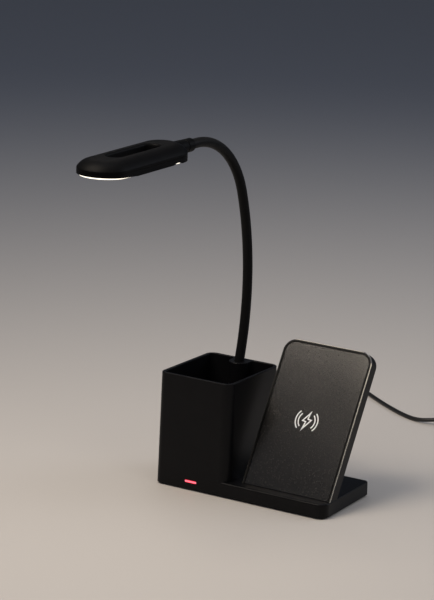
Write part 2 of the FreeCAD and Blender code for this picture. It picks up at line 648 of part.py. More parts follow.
def make_panel_case():
    below = -PANEL_THICKNESS * 2
    case = flat_panel(0, -PANEL_THICKNESS, 0, below, PANEL_CORNER_RADIUS)
    outer_front = edges_at(case, 0, lambda c: c.y > below / 2)
    case = case.makeChamfer(PANEL_BEVEL, outer_front)
    outer_back = edges_at(case, -PANEL_THICKNESS, lambda c: c.y > below / 2)
    case = case.makeFillet(PANEL_BACK_ROUNDING, outer_back)
    ledge = -(FACE_SETBACK + FACE_THICKNESS)
    recess = flat_panel(PANEL_RIM, ledge, CUT_OVERRUN, below - CUT_OVERRUN, PANEL_CORNER_RADIUS - PANEL_RIM)
    case = case.cut(recess)
    pocket = flat_panel(PANEL_SIDE_WALL, -PANEL_THICKNESS + PANEL_BACK_WALL, CUT_OVERRUN,
                        PANEL_FOOT_SOLID, PANEL_CORNER_RADIUS - PANEL_SIDE_WALL)
    case = case.cut(pocket)
    pad_top = ledge - CHARGE_COIL_THICKNESS - FERRITE_THICKNESS
    pad_low = -PANEL_THICKNESS + PANEL_BACK_WALL
    if pad_top > pad_low:
        case = case.fuse(cylinder(FERRITE_PAD_RADIUS, 0, CHARGE_COIL_HEIGHT, pad_low, pad_top))
    case = panel_place(case)
    reach = PANEL_LENGTH
    case = case.cut(box(-reach, reach, -reach, reach, -reach, BASE_HEIGHT))
    for x, y in panel_post_places():
        case = case.fuse(cylinder(PANEL_POST_RADIUS, x, y, CEILING, BASE_HEIGHT))
        case = case.cut(cylinder(SCREW_RADIUS + SCREW_FIT, x, y, CEILING - CUT_OVERRUN,
                                 CEILING + PANEL_SCREW_LENGTH))
    half = LEAD_WIDTH / 2 + SEAT_GAP
    low = lead_level() - SEAT_GAP
    channel = box(-half, half, -PANEL_THICKNESS, PANEL_FOOT_SOLID + CUT_OVERRUN,
                  low, low + LEAD_THICKNESS + SEAT_GAP * 2)
    return case.cut(panel_place(channel)).removeSplitter()


def make_panel_face():
    inset = PANEL_RIM + FACE_GROOVE
    face = flat_panel(inset, -FACE_SETBACK - FACE_THICKNESS, -FACE_SETBACK, -PANEL_THICKNESS,
                      PANEL_CORNER_RADIUS - inset)
    reach = PANEL_LENGTH
    return panel_place(face).cut(box(-reach, reach, -reach, reach, -reach, BASE_HEIGHT + FACE_FOOT_GAP))


def make_charge_coil():
    top = -(FACE_SETBACK + FACE_THICKNESS)
    ring = cylinder(CHARGE_COIL_RADIUS, 0, CHARGE_COIL_HEIGHT, top - CHARGE_COIL_THICKNESS, top)
    return panel_place(ring.cut(cylinder(CHARGE_COIL_BORE, 0, CHARGE_COIL_HEIGHT, top - PANEL_THICKNESS, 0)))


def make_ferrite_sheet():
    top = -(FACE_SETBACK + FACE_THICKNESS) - CHARGE_COIL_THICKNESS
    half = FERRITE_SIDE / 2
    return panel_place(box(-half, half, CHARGE_COIL_HEIGHT - half, CHARGE_COIL_HEIGHT + half,
                           top - FERRITE_THICKNESS, top))


def make_charger_board():
    low = -PANEL_THICKNESS + PANEL_BACK_WALL
    half = CHARGER_BOARD_LENGTH / 2
    return panel_place(box(-half, half, CHARGER_BOARD_HEIGHT, CHARGER_BOARD_HEIGHT + CHARGER_BOARD_DEPTH,
                           low, low + CHARGER_BOARD_THICKNESS))


def make_panel_screws():
    return Part.Compound([screw(x, y, CEILING, SCREW_RADIUS, SCREW_HEAD_RADIUS, SCREW_HEAD_HEIGHT,
                                PANEL_SCREW_LENGTH - CUT_OVERRUN) for x, y in panel_post_places()])


def lead_level():
    """Underside of the lead in the flat panel: the top of the charger board."""
    return -PANEL_THICKNESS + PANEL_BACK_WALL + CHARGER_BOARD_THICKNESS


def lead_foot():
    """Y of the place where the lead's sloping run meets the base's top."""
    depth = -(lead_level() + LEAD_THICKNESS / 2)
    return BASE_FRONT + PANEL_FRONT_SETBACK + depth / math.sin(math.radians(PANEL_TILT))


def make_charger_lead():
    """Flat lead: level along the main board and the base, up through the top, then up the panel's slope."""
    x = panel_middle_x()
    foot_y = lead_foot()
    run_y = BASE_FRONT + LEAD_SETBACK
    half = LEAD_WIDTH / 2
    t = LEAD_THICKNESS
    level = BOARD_TOP + t
    along = box(CUP_RIGHT - BOARD_INSET * 2, x + half, run_y - t / 2, run_y + t / 2, BOARD_TOP, level)
    across = box(x - half, x + half, foot_y - t / 2, run_y + t / 2, BOARD_TOP, level)
    up = box(x - half, x + half, foot_y - t / 2, foot_y + t / 2, BOARD_TOP, BASE_HEIGHT + t)
    slope = panel_place(box(-half, half, -PANEL_THICKNESS, CHARGER_BOARD_HEIGHT + t * 2,
                            lead_level(), lead_level() + t))
    reach = PANEL_LENGTH
    slope = slope.cut(box(-reach, reach, -reach, reach, -reach, BASE_HEIGHT - t / 2))
    return along.multiFuse([across, up, slope]).removeSplitter()


def neck_runs():
    """Length and curvature of each run of the neck's line; curvature is positive leaning back."""
    runs = [(NECK_FOOT_RUN, 0.0)]
    for radius, angle in ((NECK_FOOT_BEND_RADIUS, NECK_FOOT_ANGLE), (NECK_MAIN_BEND_RADIUS, NECK_MAIN_ANGLE),
                          (NECK_TOP_BEND_RADIUS, NECK_TOP_ANGLE)):
        runs.append((radius * math.radians(abs(angle)), math.copysign(1 / radius, angle)))
    runs.append((NECK_TOP_RUN, 0.0))
    return runs


def neck_length():
    return sum(length for length, _ in neck_runs())


def neck_state(distance):
    """Point and lean of the neck's line at a distance along it from the foot."""
    y, z, lean = NECK_Y, NECK_START, 0.0
    left = distance
    for length, bend in neck_runs():
        step = min(left, length)
        if bend == 0:
            y += step * math.sin(lean)
            z += step * math.cos(lean)
        else:
            after = lean + step * bend
            y += (math.cos(lean) - math.cos(after)) / bend
            z += (math.sin(after) - math.sin(lean)) / bend
            lean = after
        left -= step
        if left <= 0:
            break
    return V(CUP_MIDDLE_X, y, z), lean


def neck_direction(distance):
    _, lean = neck_state(distance)
    return V(0, math.sin(lean), math.cos(lean))


def neck_tube(start, end, radius):
    """Round bar along the neck's line between two distances."""
    edges = []
    run_start = 0.0
    for length, bend in neck_runs():
        low = max(start, run_start)
        high = min(end, run_start + length)
        if high - low > SHORTEST_RUN:
            a, b = neck_state(low)[0], neck_state(high)[0]
            if bend == 0:
                edges.append(Part.LineSegment(a, b).toShape())
            else:
                edges.append(Part.Arc(a, neck_state((low + high) / 2)[0], b).toShape())
        run_start += length
    return swept(edges, radius)


def swept(edges, radius):
    path = Part.Wire(edges)
    first = path.Edges[0]
    begin = first.valueAt(first.FirstParameter)
    heading = first.tangentAt(first.FirstParameter)
    profile = Part.Wire([Part.Circle(begin, heading, radius).toShape()])
    return path.makePipeShell([profile], True, False)


def sphere(radius, centre):
    return Part.makeSphere(radius, centre)


def make_neck_pieces():
    """Three sleeve lengths with their cores; a ball end sits in the next length's hollow end."""
    stations = (0.0, NECK_LOWER_PIVOT, NECK_UPPER_PIVOT, neck_length())
    names = ("lower", "middle", "upper")
    pieces = {}
    for i, name in enumerate(names):
        start, end = stations[i], stations[i + 1]
        sleeve = neck_tube(start, end, NECK_RADIUS)
        sleeve = sleeve.fuse(sphere(NECK_RADIUS, neck_state(end)[0]))
        if i > 0:
            sleeve = sleeve.cut(sphere(NECK_RADIUS + NECK_PIVOT_GAP, neck_state(start)[0]))
        core_start = start + (NECK_PIVOT_MARGIN if i > 0 else -CUT_OVERRUN)
        core_end = end - NECK_PIVOT_MARGIN
        bore_start = max(core_start, 0.0)
        bore = neck_tube(bore_start, core_end, CORE_RADIUS + CORE_GAP)
        sleeve = sleeve.cut(bore)
        core_start = bore_start + (CORE_GAP if i > 0 else 0.0)
        core = neck_tube(core_start, core_end - CORE_GAP, CORE_RADIUS)
        core = core.cut(neck_tube(core_start, core_end - CORE_GAP, CORE_BORE))
        pieces["neck_sleeve_" + name] = sleeve
        pieces["neck_core_" + name] = core
    return pieces


def head_frame():
    """Named places of the head: its middle X, the two end centres, the bottom and the neck's axis."""
    tip, _ = neck_state(neck_length())
    rear = tip.y - HEAD_REAR_GAP
    radius = HEAD_WIDTH / 2
    return {"x": tip.x, "pivot": tip, "rear": rear, "front": rear - HEAD_LENGTH, "radius": radius,
            "rear_centre": rear - radius, "front_centre": rear - HEAD_LENGTH + radius,
            "middle": rear - HEAD_LENGTH / 2, "bottom": tip.z - HEAD_BELOW_AXIS, "axis": tip.z}


def stadium(frame, radius, length, z0, z1):
    """Plate with two round ends, centred on the head."""
    x, middle = frame["x"], frame["middle"]
    return plate(x - radius, x + radius, middle - length / 2, middle + length / 2, (radius,) * 4, z0, z1)


def dome(frame, inset, floor):
    """The head's outer form, or the same form inset by a wall: round ends and a crowned top."""
    radius = frame["radius"] - inset
    crest = frame["bottom"] + HEAD_HEIGHT - inset
    side = frame["bottom"] + HEAD_SIDE_HEIGHT - inset / 2
    flat = HEAD_CREST_WIDTH / 2
    across, drop = radius - flat, crest - side
    bend = (across ** 2 + drop ** 2) / (2 * drop)
    half_turn = math.asin(min(across / bend, 1.0)) / 2
    x = frame["x"]

    def profile(y, sign):
        """Half of the cross-section, from the middle out to one side."""
        points = [V(x, y, floor), V(x + sign * radius, y, floor), V(x + sign * radius, y, side),
                  V(x + sign * flat, y, crest), V(x, y, crest)]
        arc_middle = V(x + sign * (flat + bend * math.sin(half_turn)), y,
                       crest - bend * (1 - math.cos(half_turn)))
        edges = [Part.LineSegment(points[0], points[1]).toShape(),
                 Part.LineSegment(points[1], points[2]).toShape(),
                 Part.Arc(points[2], arc_middle, points[3]).toShape(),
                 Part.LineSegment(points[3], points[4]).toShape(),
                 Part.LineSegment(points[4], points[0]).toShape()]
        return Part.Face(Part.Wire(edges))

    front, rear = frame["front_centre"], frame["rear_centre"]
    body = profile(front, 1).extrude(V(0, rear - front, 0))
    body = body.fuse(profile(front, -1).extrude(V(0, rear - front, 0)))
    body = body.fuse(profile(rear, 1).revolve(V(x, rear, 0), V(0, 0, 1), 180))
    body = body.fuse(profile(front, -1).revolve(V(x, front, 0), V(0, 0, 1), 180))
    return body.removeSplitter()


def slot_cutter(frame, growth, z0, z1):
    return stadium(frame, HEAD_SLOT_WIDTH / 2 + growth, HEAD_SLOT_LENGTH + growth * 2, z0, z1)


def head_post_places(frame):
    reach = frame["radius"] * HEAD_POST_SHARE
    return [(frame["x"] + side * reach, frame["middle"] + end * HEAD_POST_ROW)
            for side in (-1, 1) for end in (-1, 1)]


def make_head_top_shell(frame):
    parting = frame["bottom"] + HEAD_PARTING
    crest = frame["bottom"] + HEAD_HEIGHT
    outer = dome(frame, 0, parting)
    inner = dome(frame, HEAD_WALL, parting - CUT_OVERRUN)
    shell = outer.cut(inner)
    slot_wall = slot_cutter(frame, HEAD_SLOT_WALL, parting, crest - HEAD_WALL / 2)
    shell = shell.fuse(slot_wall)
    board_top = frame["bottom"] + LED_BOARD_LIFT + LED_BOARD_THICKNESS
    for x, y in head_post_places(frame):
        post = cylinder(HEAD_POST_RADIUS, x, y, board_top, crest - HEAD_WALL / 2)
        shell = shell.fuse(post.common(outer))
    stub_start = frame["rear"] - (STUB_ROOT_LENGTH - HEAD_REAR_GAP)
    stub_end = frame["pivot"].y - COLLAR_NECK_SETBACK - COLLAR_LENGTH
    stub = Part.makeCone(STUB_ROOT_RADIUS, COLLAR_RADIUS, stub_end - stub_start,
                         V(frame["x"], stub_start, frame["axis"]), V(0, 1, 0))
    below = stadium(frame, frame["radius"], HEAD_LENGTH, frame["bottom"] - HEAD_HEIGHT, parting)
    shell = shell.fuse(stub.cut(below).cut(inner))
    shell = shell.cut(slot_cutter(frame, 0, parting - CUT_OVERRUN, crest + CUT_OVERRUN))
    slot_edges = edges_at(shell, crest, lambda c: abs(c.x - frame["x"]) < HEAD_SLOT_WIDTH)
    shell = shell.makeFillet(SLOT_ROUNDING, slot_edges)
    for x, y in head_post_places(frame):
        shell = shell.cut(cylinder(BOARD_SCREW_RADIUS + SCREW_FIT, x, y, board_top - CUT_OVERRUN,
                                   board_top + BOARD_SCREW_LENGTH - CUT_OVERRUN))
    x, axis = frame["x"], frame["axis"]
    seat = ferrule_rear(frame) - HEAD_FERRULE_LENGTH - SEAT_GAP
    bore = Part.makeCylinder(FERRULE_RADIUS + FERRULE_FIT, stub_end + CUT_OVERRUN - seat,
                             V(x, seat, axis), V(0, 1, 0))
    narrow = Part.makeCylinder(FERRULE_BORE, HEAD_FERRULE_LENGTH, V(x, seat + CUT_OVERRUN, axis), V(0, -1, 0))
    screw_y = stub_end - HEAD_SCREW_SETBACK
    screw_hole = cylinder(HEAD_SCREW_RADIUS + SCREW_FIT, x, screw_y, axis - COLLAR_RADIUS * 2, axis)
    return shell.cut([bore, narrow, screw_hole]).removeSplitter()


def make_head_set_screw(frame):
    """Slotted grub screw that clamps the ferrule in the head's rear stub."""
    top = frame["axis"] - FERRULE_RADIUS
    y = frame["pivot"].y - COLLAR_NECK_SETBACK - COLLAR_LENGTH - HEAD_SCREW_SETBACK
    low = frame["axis"] - COLLAR_RADIUS
    body = cylinder(HEAD_SCREW_RADIUS, frame["x"], y, low, top)
    half, reach = SCREW_SLOT_WIDTH / 2, HEAD_SCREW_RADIUS * 2
    return body.cut(box(frame["x"] - reach, frame["x"] + reach, y - half, y + half,
                        low - CUT_OVERRUN, low + SCREW_SLOT_DEPTH))


def make_head_lead(frame):
    """End of the lamp lead, from inside the ferrule to the LED board's rear edge."""
    start = ferrule_rear(frame) - HEAD_FERRULE_LENGTH / 2
    end = frame["rear"] - HEAD_WALL - LED_BOARD_GAP
    return Part.makeCylinder(HEAD_LEAD_RADIUS, start - end, V(frame["x"], start, frame["axis"]), V(0, -1, 0))


def ferrule_rear(frame):
    """Where the head's ferrule ends inside the collar, in front of the neck's ball."""
    return frame["pivot"].y - NECK_RADIUS - NECK_PIVOT_GAP - SEAT_GAP


def make_head_collar(frame):
    start = frame["pivot"].y - COLLAR_NECK_SETBACK
    x, axis = frame["x"], frame["axis"]
    length = COLLAR_LENGTH - COLLAR_GROOVE
    collar = Part.makeCylinder(COLLAR_RADIUS, length, V(x, start, axis), V(0, -1, 0))
    rims = []
    for edge in collar.Edges:
        if edge.Length > COLLAR_RADIUS and edge.BoundBox.YLength < LEVEL_TOLERANCE:
            rims.append(edge)
    collar = collar.makeFillet(COLLAR_ROUNDING, rims)
    spigot = Part.makeCylinder(COLLAR_RADIUS - COLLAR_GROOVE * 2, COLLAR_GROOVE,
                               V(x, start - length, axis), V(0, -1, 0))
    collar = collar.fuse(spigot)
    collar = collar.cut(sphere(NECK_RADIUS + NECK_PIVOT_GAP, frame["pivot"]))
    return collar.cut(Part.makeCylinder(FERRULE_RADIUS + FERRULE_FIT, COLLAR_LENGTH * 2,
                                        V(x, frame["pivot"].y - NECK_RADIUS / 2, axis), V(0, -1, 0)))


def make_head_ferrule(frame):
    x, axis = frame["x"], frame["axis"]
    start = ferrule_rear(frame)
    tube = Part.makeCylinder(FERRULE_RADIUS, HEAD_FERRULE_LENGTH, V(x, start, axis), V(0, -1, 0))
    return tube.cut(Part.makeCylinder(FERRULE_BORE, HEAD_FERRULE_LENGTH + CUT_OVERRUN * 2,
                                      V(x, start + CUT_OVERRUN, axis), V(0, -1, 0)))


def relief(frame, end, length, rise, middle_share, drop=0):
    """Wedge with a curved top that lifts a lower edge, drop below the head's rim, towards one end of the head."""
    tip_y = frame["middle"] + end * HEAD_LENGTH / 2
    start_y = tip_y - end * length
    x0, bottom = frame["x"] - HEAD_WIDTH, frame["bottom"] - drop
    over = tip_y + end * CUT_OVERRUN
    low = bottom - CUT_OVERRUN
    top = bottom + rise
    middle = V(x0, (start_y + tip_y) / 2, bottom + rise * middle_share)
    arc = Part.Arc(V(x0, start_y, bottom), middle, V(x0, tip_y, top)).toShape()
    corners = [V(x0, tip_y, top), V(x0, over, top), V(x0, over, low), V(x0, start_y, low),
               V(x0, start_y, bottom)]
    edges = [arc] + [Part.LineSegment(a, b).toShape() for a, b in zip(corners, corners[1:])]
    return Part.Face(Part.Wire(edges)).extrude(V(HEAD_WIDTH * 2, 0, 0))


def side_notch(frame):
    """Shallow arched opening across the lower rim, towards the rear, where light shows at the side."""
    x0, bottom = frame["x"] - HEAD_WIDTH, frame["bottom"]
    centre, half = frame["rear"] - SIDE_NOTCH_SETBACK, SIDE_NOTCH_LENGTH / 2
    low = bottom - CUT_OVERRUN
    arc = Part.Arc(V(x0, centre - half, bottom), V(x0, centre, bottom + SIDE_NOTCH_RISE),
                   V(x0, centre + half, bottom)).toShape()
    corners = [V(x0, centre + half, bottom), V(x0, centre + half, low), V(x0, centre - half, low),
               V(x0, centre - half, bottom)]
    edges = [arc] + [Part.LineSegment(a, b).toShape() for a, b in zip(corners, corners[1:])]
    return Part.Face(Part.Wire(edges)).extrude(V(HEAD_WIDTH * 2, 0, 0))


def make_head_lower_frame(frame):
    bottom, parting = frame["bottom"], frame["bottom"] + HEAD_PARTING
    ring = stadium(frame, frame["radius"], HEAD_LENGTH, bottom, parting)
    inner = stadium(frame, frame["radius"] - HEAD_WALL, HEAD_LENGTH - HEAD_WALL * 2,
                    bottom - CUT_OVERRUN, parting + CUT_OVERRUN)
    ring = ring.cut(inner)
    ring = ring.cut(relief(frame, -1, FRONT_RELIEF_LENGTH, FRONT_RELIEF_RISE, FRONT_RELIEF_SHARE))
    ring = ring.cut(relief(frame, 1, REAR_RELIEF_LENGTH, REAR_RELIEF_RISE, REAR_RELIEF_SHARE))
    ring = ring.cut(side_notch(frame))
    slot_ring = slot_cutter(frame, HEAD_SLOT_WALL, bottom, parting)
    rib_low = bottom - DIFFUSER_PROUD + DIFFUSER_THICKNESS
    half = FRAME_RIB_WIDTH / 2
    reach = frame["radius"] - HEAD_WALL / 2
    x, middle = frame["x"], frame["middle"]
    ribs = [box(x - reach, x + reach, y - half, y + half, rib_low, parting)
            for y in (middle - FRAME_RIB_ROW, middle + FRAME_RIB_ROW)]
    body = ring.multiFuse([slot_ring] + ribs)
    lead_way = Part.makeCylinder(HEAD_LEAD_RADIUS + HEAD_LEAD_GAP, HEAD_WALL + CUT_OVERRUN * 2,
                                 V(x, frame["rear"] + CUT_OVERRUN, frame["axis"]), V(0, -1, 0))
    body = body.cut(lead_way)
    return body.cut(slot_cutter(frame, 0, bottom - CUT_OVERRUN, parting + CUT_OVERRUN)).removeSplitter()


def make_diffuser(frame):
    low = frame["bottom"] - DIFFUSER_PROUD
    inset = HEAD_WALL + DIFFUSER_GAP
    body = stadium(frame, frame["radius"] - inset, HEAD_LENGTH - inset * 2, low, low + DIFFUSER_THICKNESS)
    body = body.makeFillet(DIFFUSER_ROUNDING, edges_at(body, low, lambda c: True))
    body = body.cut(relief(frame, -1, FRONT_RELIEF_LENGTH, DIFFUSER_RELIEF_RISE, FRONT_RELIEF_SHARE,
                           DIFFUSER_PROUD))
    return body.cut(slot_cutter(frame, HEAD_SLOT_WALL + DIFFUSER_GAP, low - CUT_OVERRUN,
                                low + DIFFUSER_THICKNESS + CUT_OVERRUN))


def make_led_board(frame):
    low = frame["bottom"] + LED_BOARD_LIFT
    high = low + LED_BOARD_THICKNESS
    inset = HEAD_WALL + LED_BOARD_GAP
    board = stadium(frame, frame["radius"] - inset, HEAD_LENGTH - inset * 2, low, high)
    under, over = low - CUT_OVERRUN, high + CUT_OVERRUN
    board = board.cut(slot_cutter(frame, HEAD_SLOT_WALL + LED_BOARD_SLOT_GAP, under, over))
    for x, y in head_post_places(frame):
        board = board.cut(cylinder(BOARD_SCREW_RADIUS + SCREW_FIT, x, y, under, over))
    return board


def make_led_chips(frame):
    high = frame["bottom"] + LED_BOARD_LIFT
    across = HEAD_SLOT_WIDTH / 2 + HEAD_SLOT_WALL + LED_BOARD_SLOT_GAP + CHIP_WIDTH
    chips = []
    for side in (-1, 1):
        for i in range(CHIPS_PER_ROW):
            x = frame["x"] + side * across
            y = frame["middle"] + (i - (CHIPS_PER_ROW - 1) / 2) * CHIP_PITCH
            chips.append(box(x - CHIP_WIDTH / 2, x + CHIP_WIDTH / 2, y - CHIP_LENGTH / 2, y + CHIP_LENGTH / 2,
                             high - CHIP_HEIGHT, high))
    return Part.Compound(chips)


def make_head_screws(frame):
    seat = frame["bottom"] + LED_BOARD_LIFT
    return Part.Compound([screw(x, y, seat, BOARD_SCREW_RADIUS, BOARD_SCREW_HEAD_RADIUS,
                                BOARD_SCREW_HEAD_HEIGHT, BOARD_SCREW_LENGTH)
                          for x, y in head_post_places(frame)])


def plug_body(width, height, length, radius, boot_length, boot_radius):
    """Overmoulded plug along +Y from y = 0: a rounded block, then a tapered strain relief."""
    half, tall = width / 2, height / 2
    block = plate(-half, half, -tall, tall, (radius,) * 4, 0, length)
    block.rotate(V(0, 0, 0), V(1, 0, 0), -90)
    boot = Part.makeCone(boot_radius, BOOT_END_RADIUS, boot_length, V(0, length, 0), V(0, 1, 0))
    return block.fuse(boot)


def make_cord_plug():
    """Plug in the lamp's socket: overmould and strain relief."""
    body = plug_body(PLUG_BODY_WIDTH, PLUG_BODY_HEIGHT, PLUG_BODY_LENGTH, PLUG_BODY_RADIUS,
                     PLUG_BOOT_LENGTH, PLUG_BOOT_RADIUS)
    body.translate(V(CUP_MIDDLE_X, BASE_BACK + PLUG_STANDOFF, SOCKET_AXIS_HEIGHT))
    return body


def make_cord_plug_tongue():
    half, tall = PLUG_TONGUE_WIDTH / 2, PLUG_TONGUE_HEIGHT / 2
    y1 = BASE_BACK + PLUG_STANDOFF
    x, z = CUP_MIDDLE_X, SOCKET_AXIS_HEIGHT
    return box(x - half, x + half, y1 - PLUG_TONGUE_LENGTH, y1, z - tall, z + tall)


def tangent_route(points):
    """Straight runs joined by tangent arcs, each as large as its two runs allow."""
    points = [V(*p) for p in points]
    edges = []
    radii = []
    last = points[0]
    for before, corner, after in zip(points, points[1:], points[2:]):
        way_in = (corner - before).normalize()
        way_out = (after - corner).normalize()
        turn = way_in.getAngle(way_out)
        reach = CORNER_REACH_SHARE * min((corner - before).Length, (after - corner).Length)
        radius = reach / math.tan(turn / 2)
        radii.append(radius)
        start = corner - way_in * reach
        end = corner + way_out * reach
        inward = (way_out - way_in).normalize()
        centre_gap = radius / math.cos(turn / 2)
        middle = corner + inward * (centre_gap - radius)
        edges.append(Part.LineSegment(last, start).toShape())
        edges.append(Part.Arc(start, middle, end).toShape())
        last = end
    edges.append(Part.LineSegment(last, points[-1]).toShape())
    return edges, radii


def coil_point(angle):
    """The coil's line: it spirals in on top, sinks a layer in half a turn and spirals out below."""
    turning = math.pi * COIL_TURNS
    away = abs(angle - turning)
    soft = math.pi / 4
    if away < soft:
        away = (away * away / soft + soft) / 2
    radius = COIL_OUTER_RADIUS - COIL_PITCH * (turning - away) / (2 * math.pi)
    sunk = min(max((angle - turning) / math.pi + 0.5, 0.0), 1.0)
    left_to_sink = (1 + math.cos(math.pi * sunk)) / 2
    turned = math.radians(COIL_START_ANGLE) + angle
    return V(COIL_CENTRE_X + radius * math.cos(turned), COIL_CENTRE_Y + radius * math.sin(turned),
             COIL_FLOOR + COIL_PITCH * left_to_sink)


def coil_tangent(angle):
    return (coil_point(angle + ANGLE_STEP) - coil_point(angle - ANGLE_STEP)).normalize()


def arc_from(a, heading, b):
    """Arc from a to b that leaves a along the heading."""
    chord = b - a
    turn = heading.getAngle(chord)
    if turn < SHORTEST_RUN:
        return Part.LineSegment(a, b).toShape()
    aside = (heading - chord * (heading.dot(chord) / chord.dot(chord))).normalize()
    middle = (a + b) * 0.5 + aside * (chord.Length / 2 * math.tan(turn / 2))
    return Part.Arc(a, middle, b).toShape()


def biarc(a, heading_a, b, heading_b):
    """Two arcs that join two points with the given headings."""
    span = b - a
    both = heading_a + heading_b
    spread = 2 * (1 - heading_a.dot(heading_b))
    along = span.dot(both)
    if spread < STRAIGHT_TOLERANCE:
        reach = span.dot(span) / (4 * span.dot(heading_b))
    else:
        reach = (-along + math.sqrt(along ** 2 + spread * span.dot(span))) / spread
    joint = (a + b + (heading_a - heading_b) * reach) * 0.5
    first = arc_from(a, heading_a, joint)
    second_back = arc_from(b, heading_b * -1, joint)
    low, high = second_back.FirstParameter, second_back.LastParameter
    middle = second_back.valueAt((low + high) / 2)
    return [first, Part.Arc(second_back.valueAt(high), middle, second_back.valueAt(low)).toShape()]


def coil_end_heading():
    turned = math.radians(COIL_START_ANGLE) + 2 * math.pi * COIL_TURNS
    return V(-math.sin(turned), math.cos(turned), 0)


def tail_points():
    """From the coil's end, off its outer turn and up to the plug's height."""
    start = coil_point(2 * math.pi * COIL_TURNS)
    heading = coil_end_heading()
    lift = V(0, 0, FAR_AXIS_HEIGHT - start.z)
    low, high, last = (start + heading * (TAIL_RUN * share) for share in TAIL_SHARES)
    return [start, low, high + lift, last + lift]


def make_cord_coil():
    quarters = COIL_TURNS * 4
    angles = [2 * math.pi * COIL_TURNS * i / quarters for i in range(quarters + 1)]
    headings = [coil_tangent(a) for a in angles]
    start_turn = math.radians(COIL_START_ANGLE)
    headings[0] = V(-math.sin(start_turn), math.cos(start_turn), 0)
    headings[-1] = coil_end_heading()
    edges = []
    for i in range(quarters):
        edges += biarc(coil_point(angles[i]), headings[i], coil_point(angles[i + 1]), headings[i + 1])
    begin = coil_point(0)
    lead_in = begin - headings[0] * CORD_DIAMETER
    edges.insert(0, Part.LineSegment(lead_in, begin).toShape())
    tail, radii = tangent_route([tuple(p) for p in tail_points()])
    edges += tail
    print("cord coil: length %.1f, tail radii %s" % (sum(e.Length for e in edges), [round(r) for r in radii]))
    samples = []
    for edge in edges:
        low, high = edge.FirstParameter, edge.LastParameter
        count = max(int(edge.Length), 2)
        samples += [edge.valueAt(low + (high - low) * i / count) for i in range(count)]
    apart = CORD_DIAMETER * 3
    travelled = [0.0]
    for a, b in zip(samples, samples[1:]):
        travelled.append(travelled[-1] + (b - a).Length)
    least = min((samples[i] - samples[j]).Length for i in range(len(samples)) for j in range(i)
                if travelled[i] - travelled[j] > apart)
    gap = least - CORD_DIAMETER
    print("cord coil: least gap to itself %.2f mm, wanted over %.2f" % (gap, COIL_LEAST_GAP))
    return swept(edges, CORD_DIAMETER / 2)


def make_power_cord():
    heading = V(-math.sin(math.radians(COIL_START_ANGLE)), math.cos(math.radians(COIL_START_ANGLE)), 0)
    end = coil_point(0) - heading * CORD_DIAMETER
    before = end - heading * (CORD_DIAMETER * 4)
    edges, radii = tangent_route(CORD_ROUTE + [tuple(before), tuple(end)])
    length = sum(e.Length for e in edges)
    tube = swept(edges, CORD_DIAMETER / 2)
    section = math.pi * CORD_DIAMETER ** 2 / 4
    print("power cord: length %.1f, radii %s" % (length, [round(r) for r in radii]))
    print("power cord: volume %.1f, section times length %.1f" % (tube.Volume, section * length))
    return tube


def make_cord_tie():
    """Band around the coil's turns on the side away from the cord."""
    d = CORD_DIAMETER
    inner_r = COIL_OUTER_RADIUS - COIL_HALF_SPREAD * 2 - d / 2 - TIE_GAP
    outer_r = COIL_OUTER_RADIUS + d / 2 + TIE_GAP
    low = COIL_FLOOR - d / 2 - TIE_GAP
    high = COIL_FLOOR + COIL_PITCH + d / 2 + TIE_GAP
    half = TIE_WIDTH / 2
    t = TIE_THICKNESS
    band = box(inner_r - t, outer_r + t, -half, half, low - t, high + t)
    band = band.cut(box(inner_r, outer_r, -half - CUT_OVERRUN, half + CUT_OVERRUN, low, high))
    band.rotate(V(0, 0, 0), V(0, 0, 1), COIL_START_ANGLE + 180)
    band.translate(V(COIL_CENTRE_X, COIL_CENTRE_Y, 0))
    return band


def far_plug_place(shape):
    """Moves a piece drawn along +Y, its cord end at y = 0, to the end of the coil's tail."""
    heading = coil_end_heading()
    placed = shape.copy()
    placed.rotate(V(0, 0, 0), V(0, 0, 1), math.degrees(math.atan2(heading.y, heading.x)) - 90)
    placed.translate(tail_points()[-1])
    return placed


def make_far_plug():
    body = plug_body(FAR_PLUG_WIDTH, FAR_PLUG_HEIGHT, FAR_PLUG_LENGTH, FAR_PLUG_RADIUS,
                     PLUG_BOOT_LENGTH, PLUG_BOOT_RADIUS)
    body.rotate(V(0, 0, 0), V(0, 0, 1), 180)
    body.translate(V(0, FAR_PLUG_LENGTH + PLUG_BOOT_LENGTH, 0))
    return far_plug_place(body)


def make_far_plug_shell():
    half, tall = FAR_SHELL_WIDTH / 2, FAR_SHELL_HEIGHT / 2
    y0 = FAR_PLUG_LENGTH + PLUG_BOOT_LENGTH
    y1 = y0 + FAR_SHELL_LENGTH
    wall = FAR_SHELL_WALL
    body = box(-half, half, y0, y1, -tall, tall)
    body = body.cut(box(-half + wall, half - wall, y0 - CUT_OVERRUN, y1 + CUT_OVERRUN,
                        -tall + wall, tall - wall))
    window = FAR_WINDOW_SIDE / 2
    y = y1 - FAR_WINDOW_SETBACK
    for x in (-FAR_WINDOW_OFFSET, FAR_WINDOW_OFFSET):
        body = body.cut(box(x - window, x + window, y - window, y + window,
                            -FAR_SHELL_HEIGHT, FAR_SHELL_HEIGHT))
    return far_plug_place(body)


def make_far_plug_tongue():
    half, tall = FAR_SHELL_WIDTH / 2 - FAR_SHELL_WALL, FAR_SHELL_HEIGHT / 2 - FAR_SHELL_WALL
    y0 = FAR_PLUG_LENGTH + PLUG_BOOT_LENGTH
    return far_plug_place(box(-half, half, y0, y0 + FAR_SHELL_LENGTH - FAR_SHELL_WALL,
                              tall - tall * 2 * FAR_TONGUE_SHARE, tall))


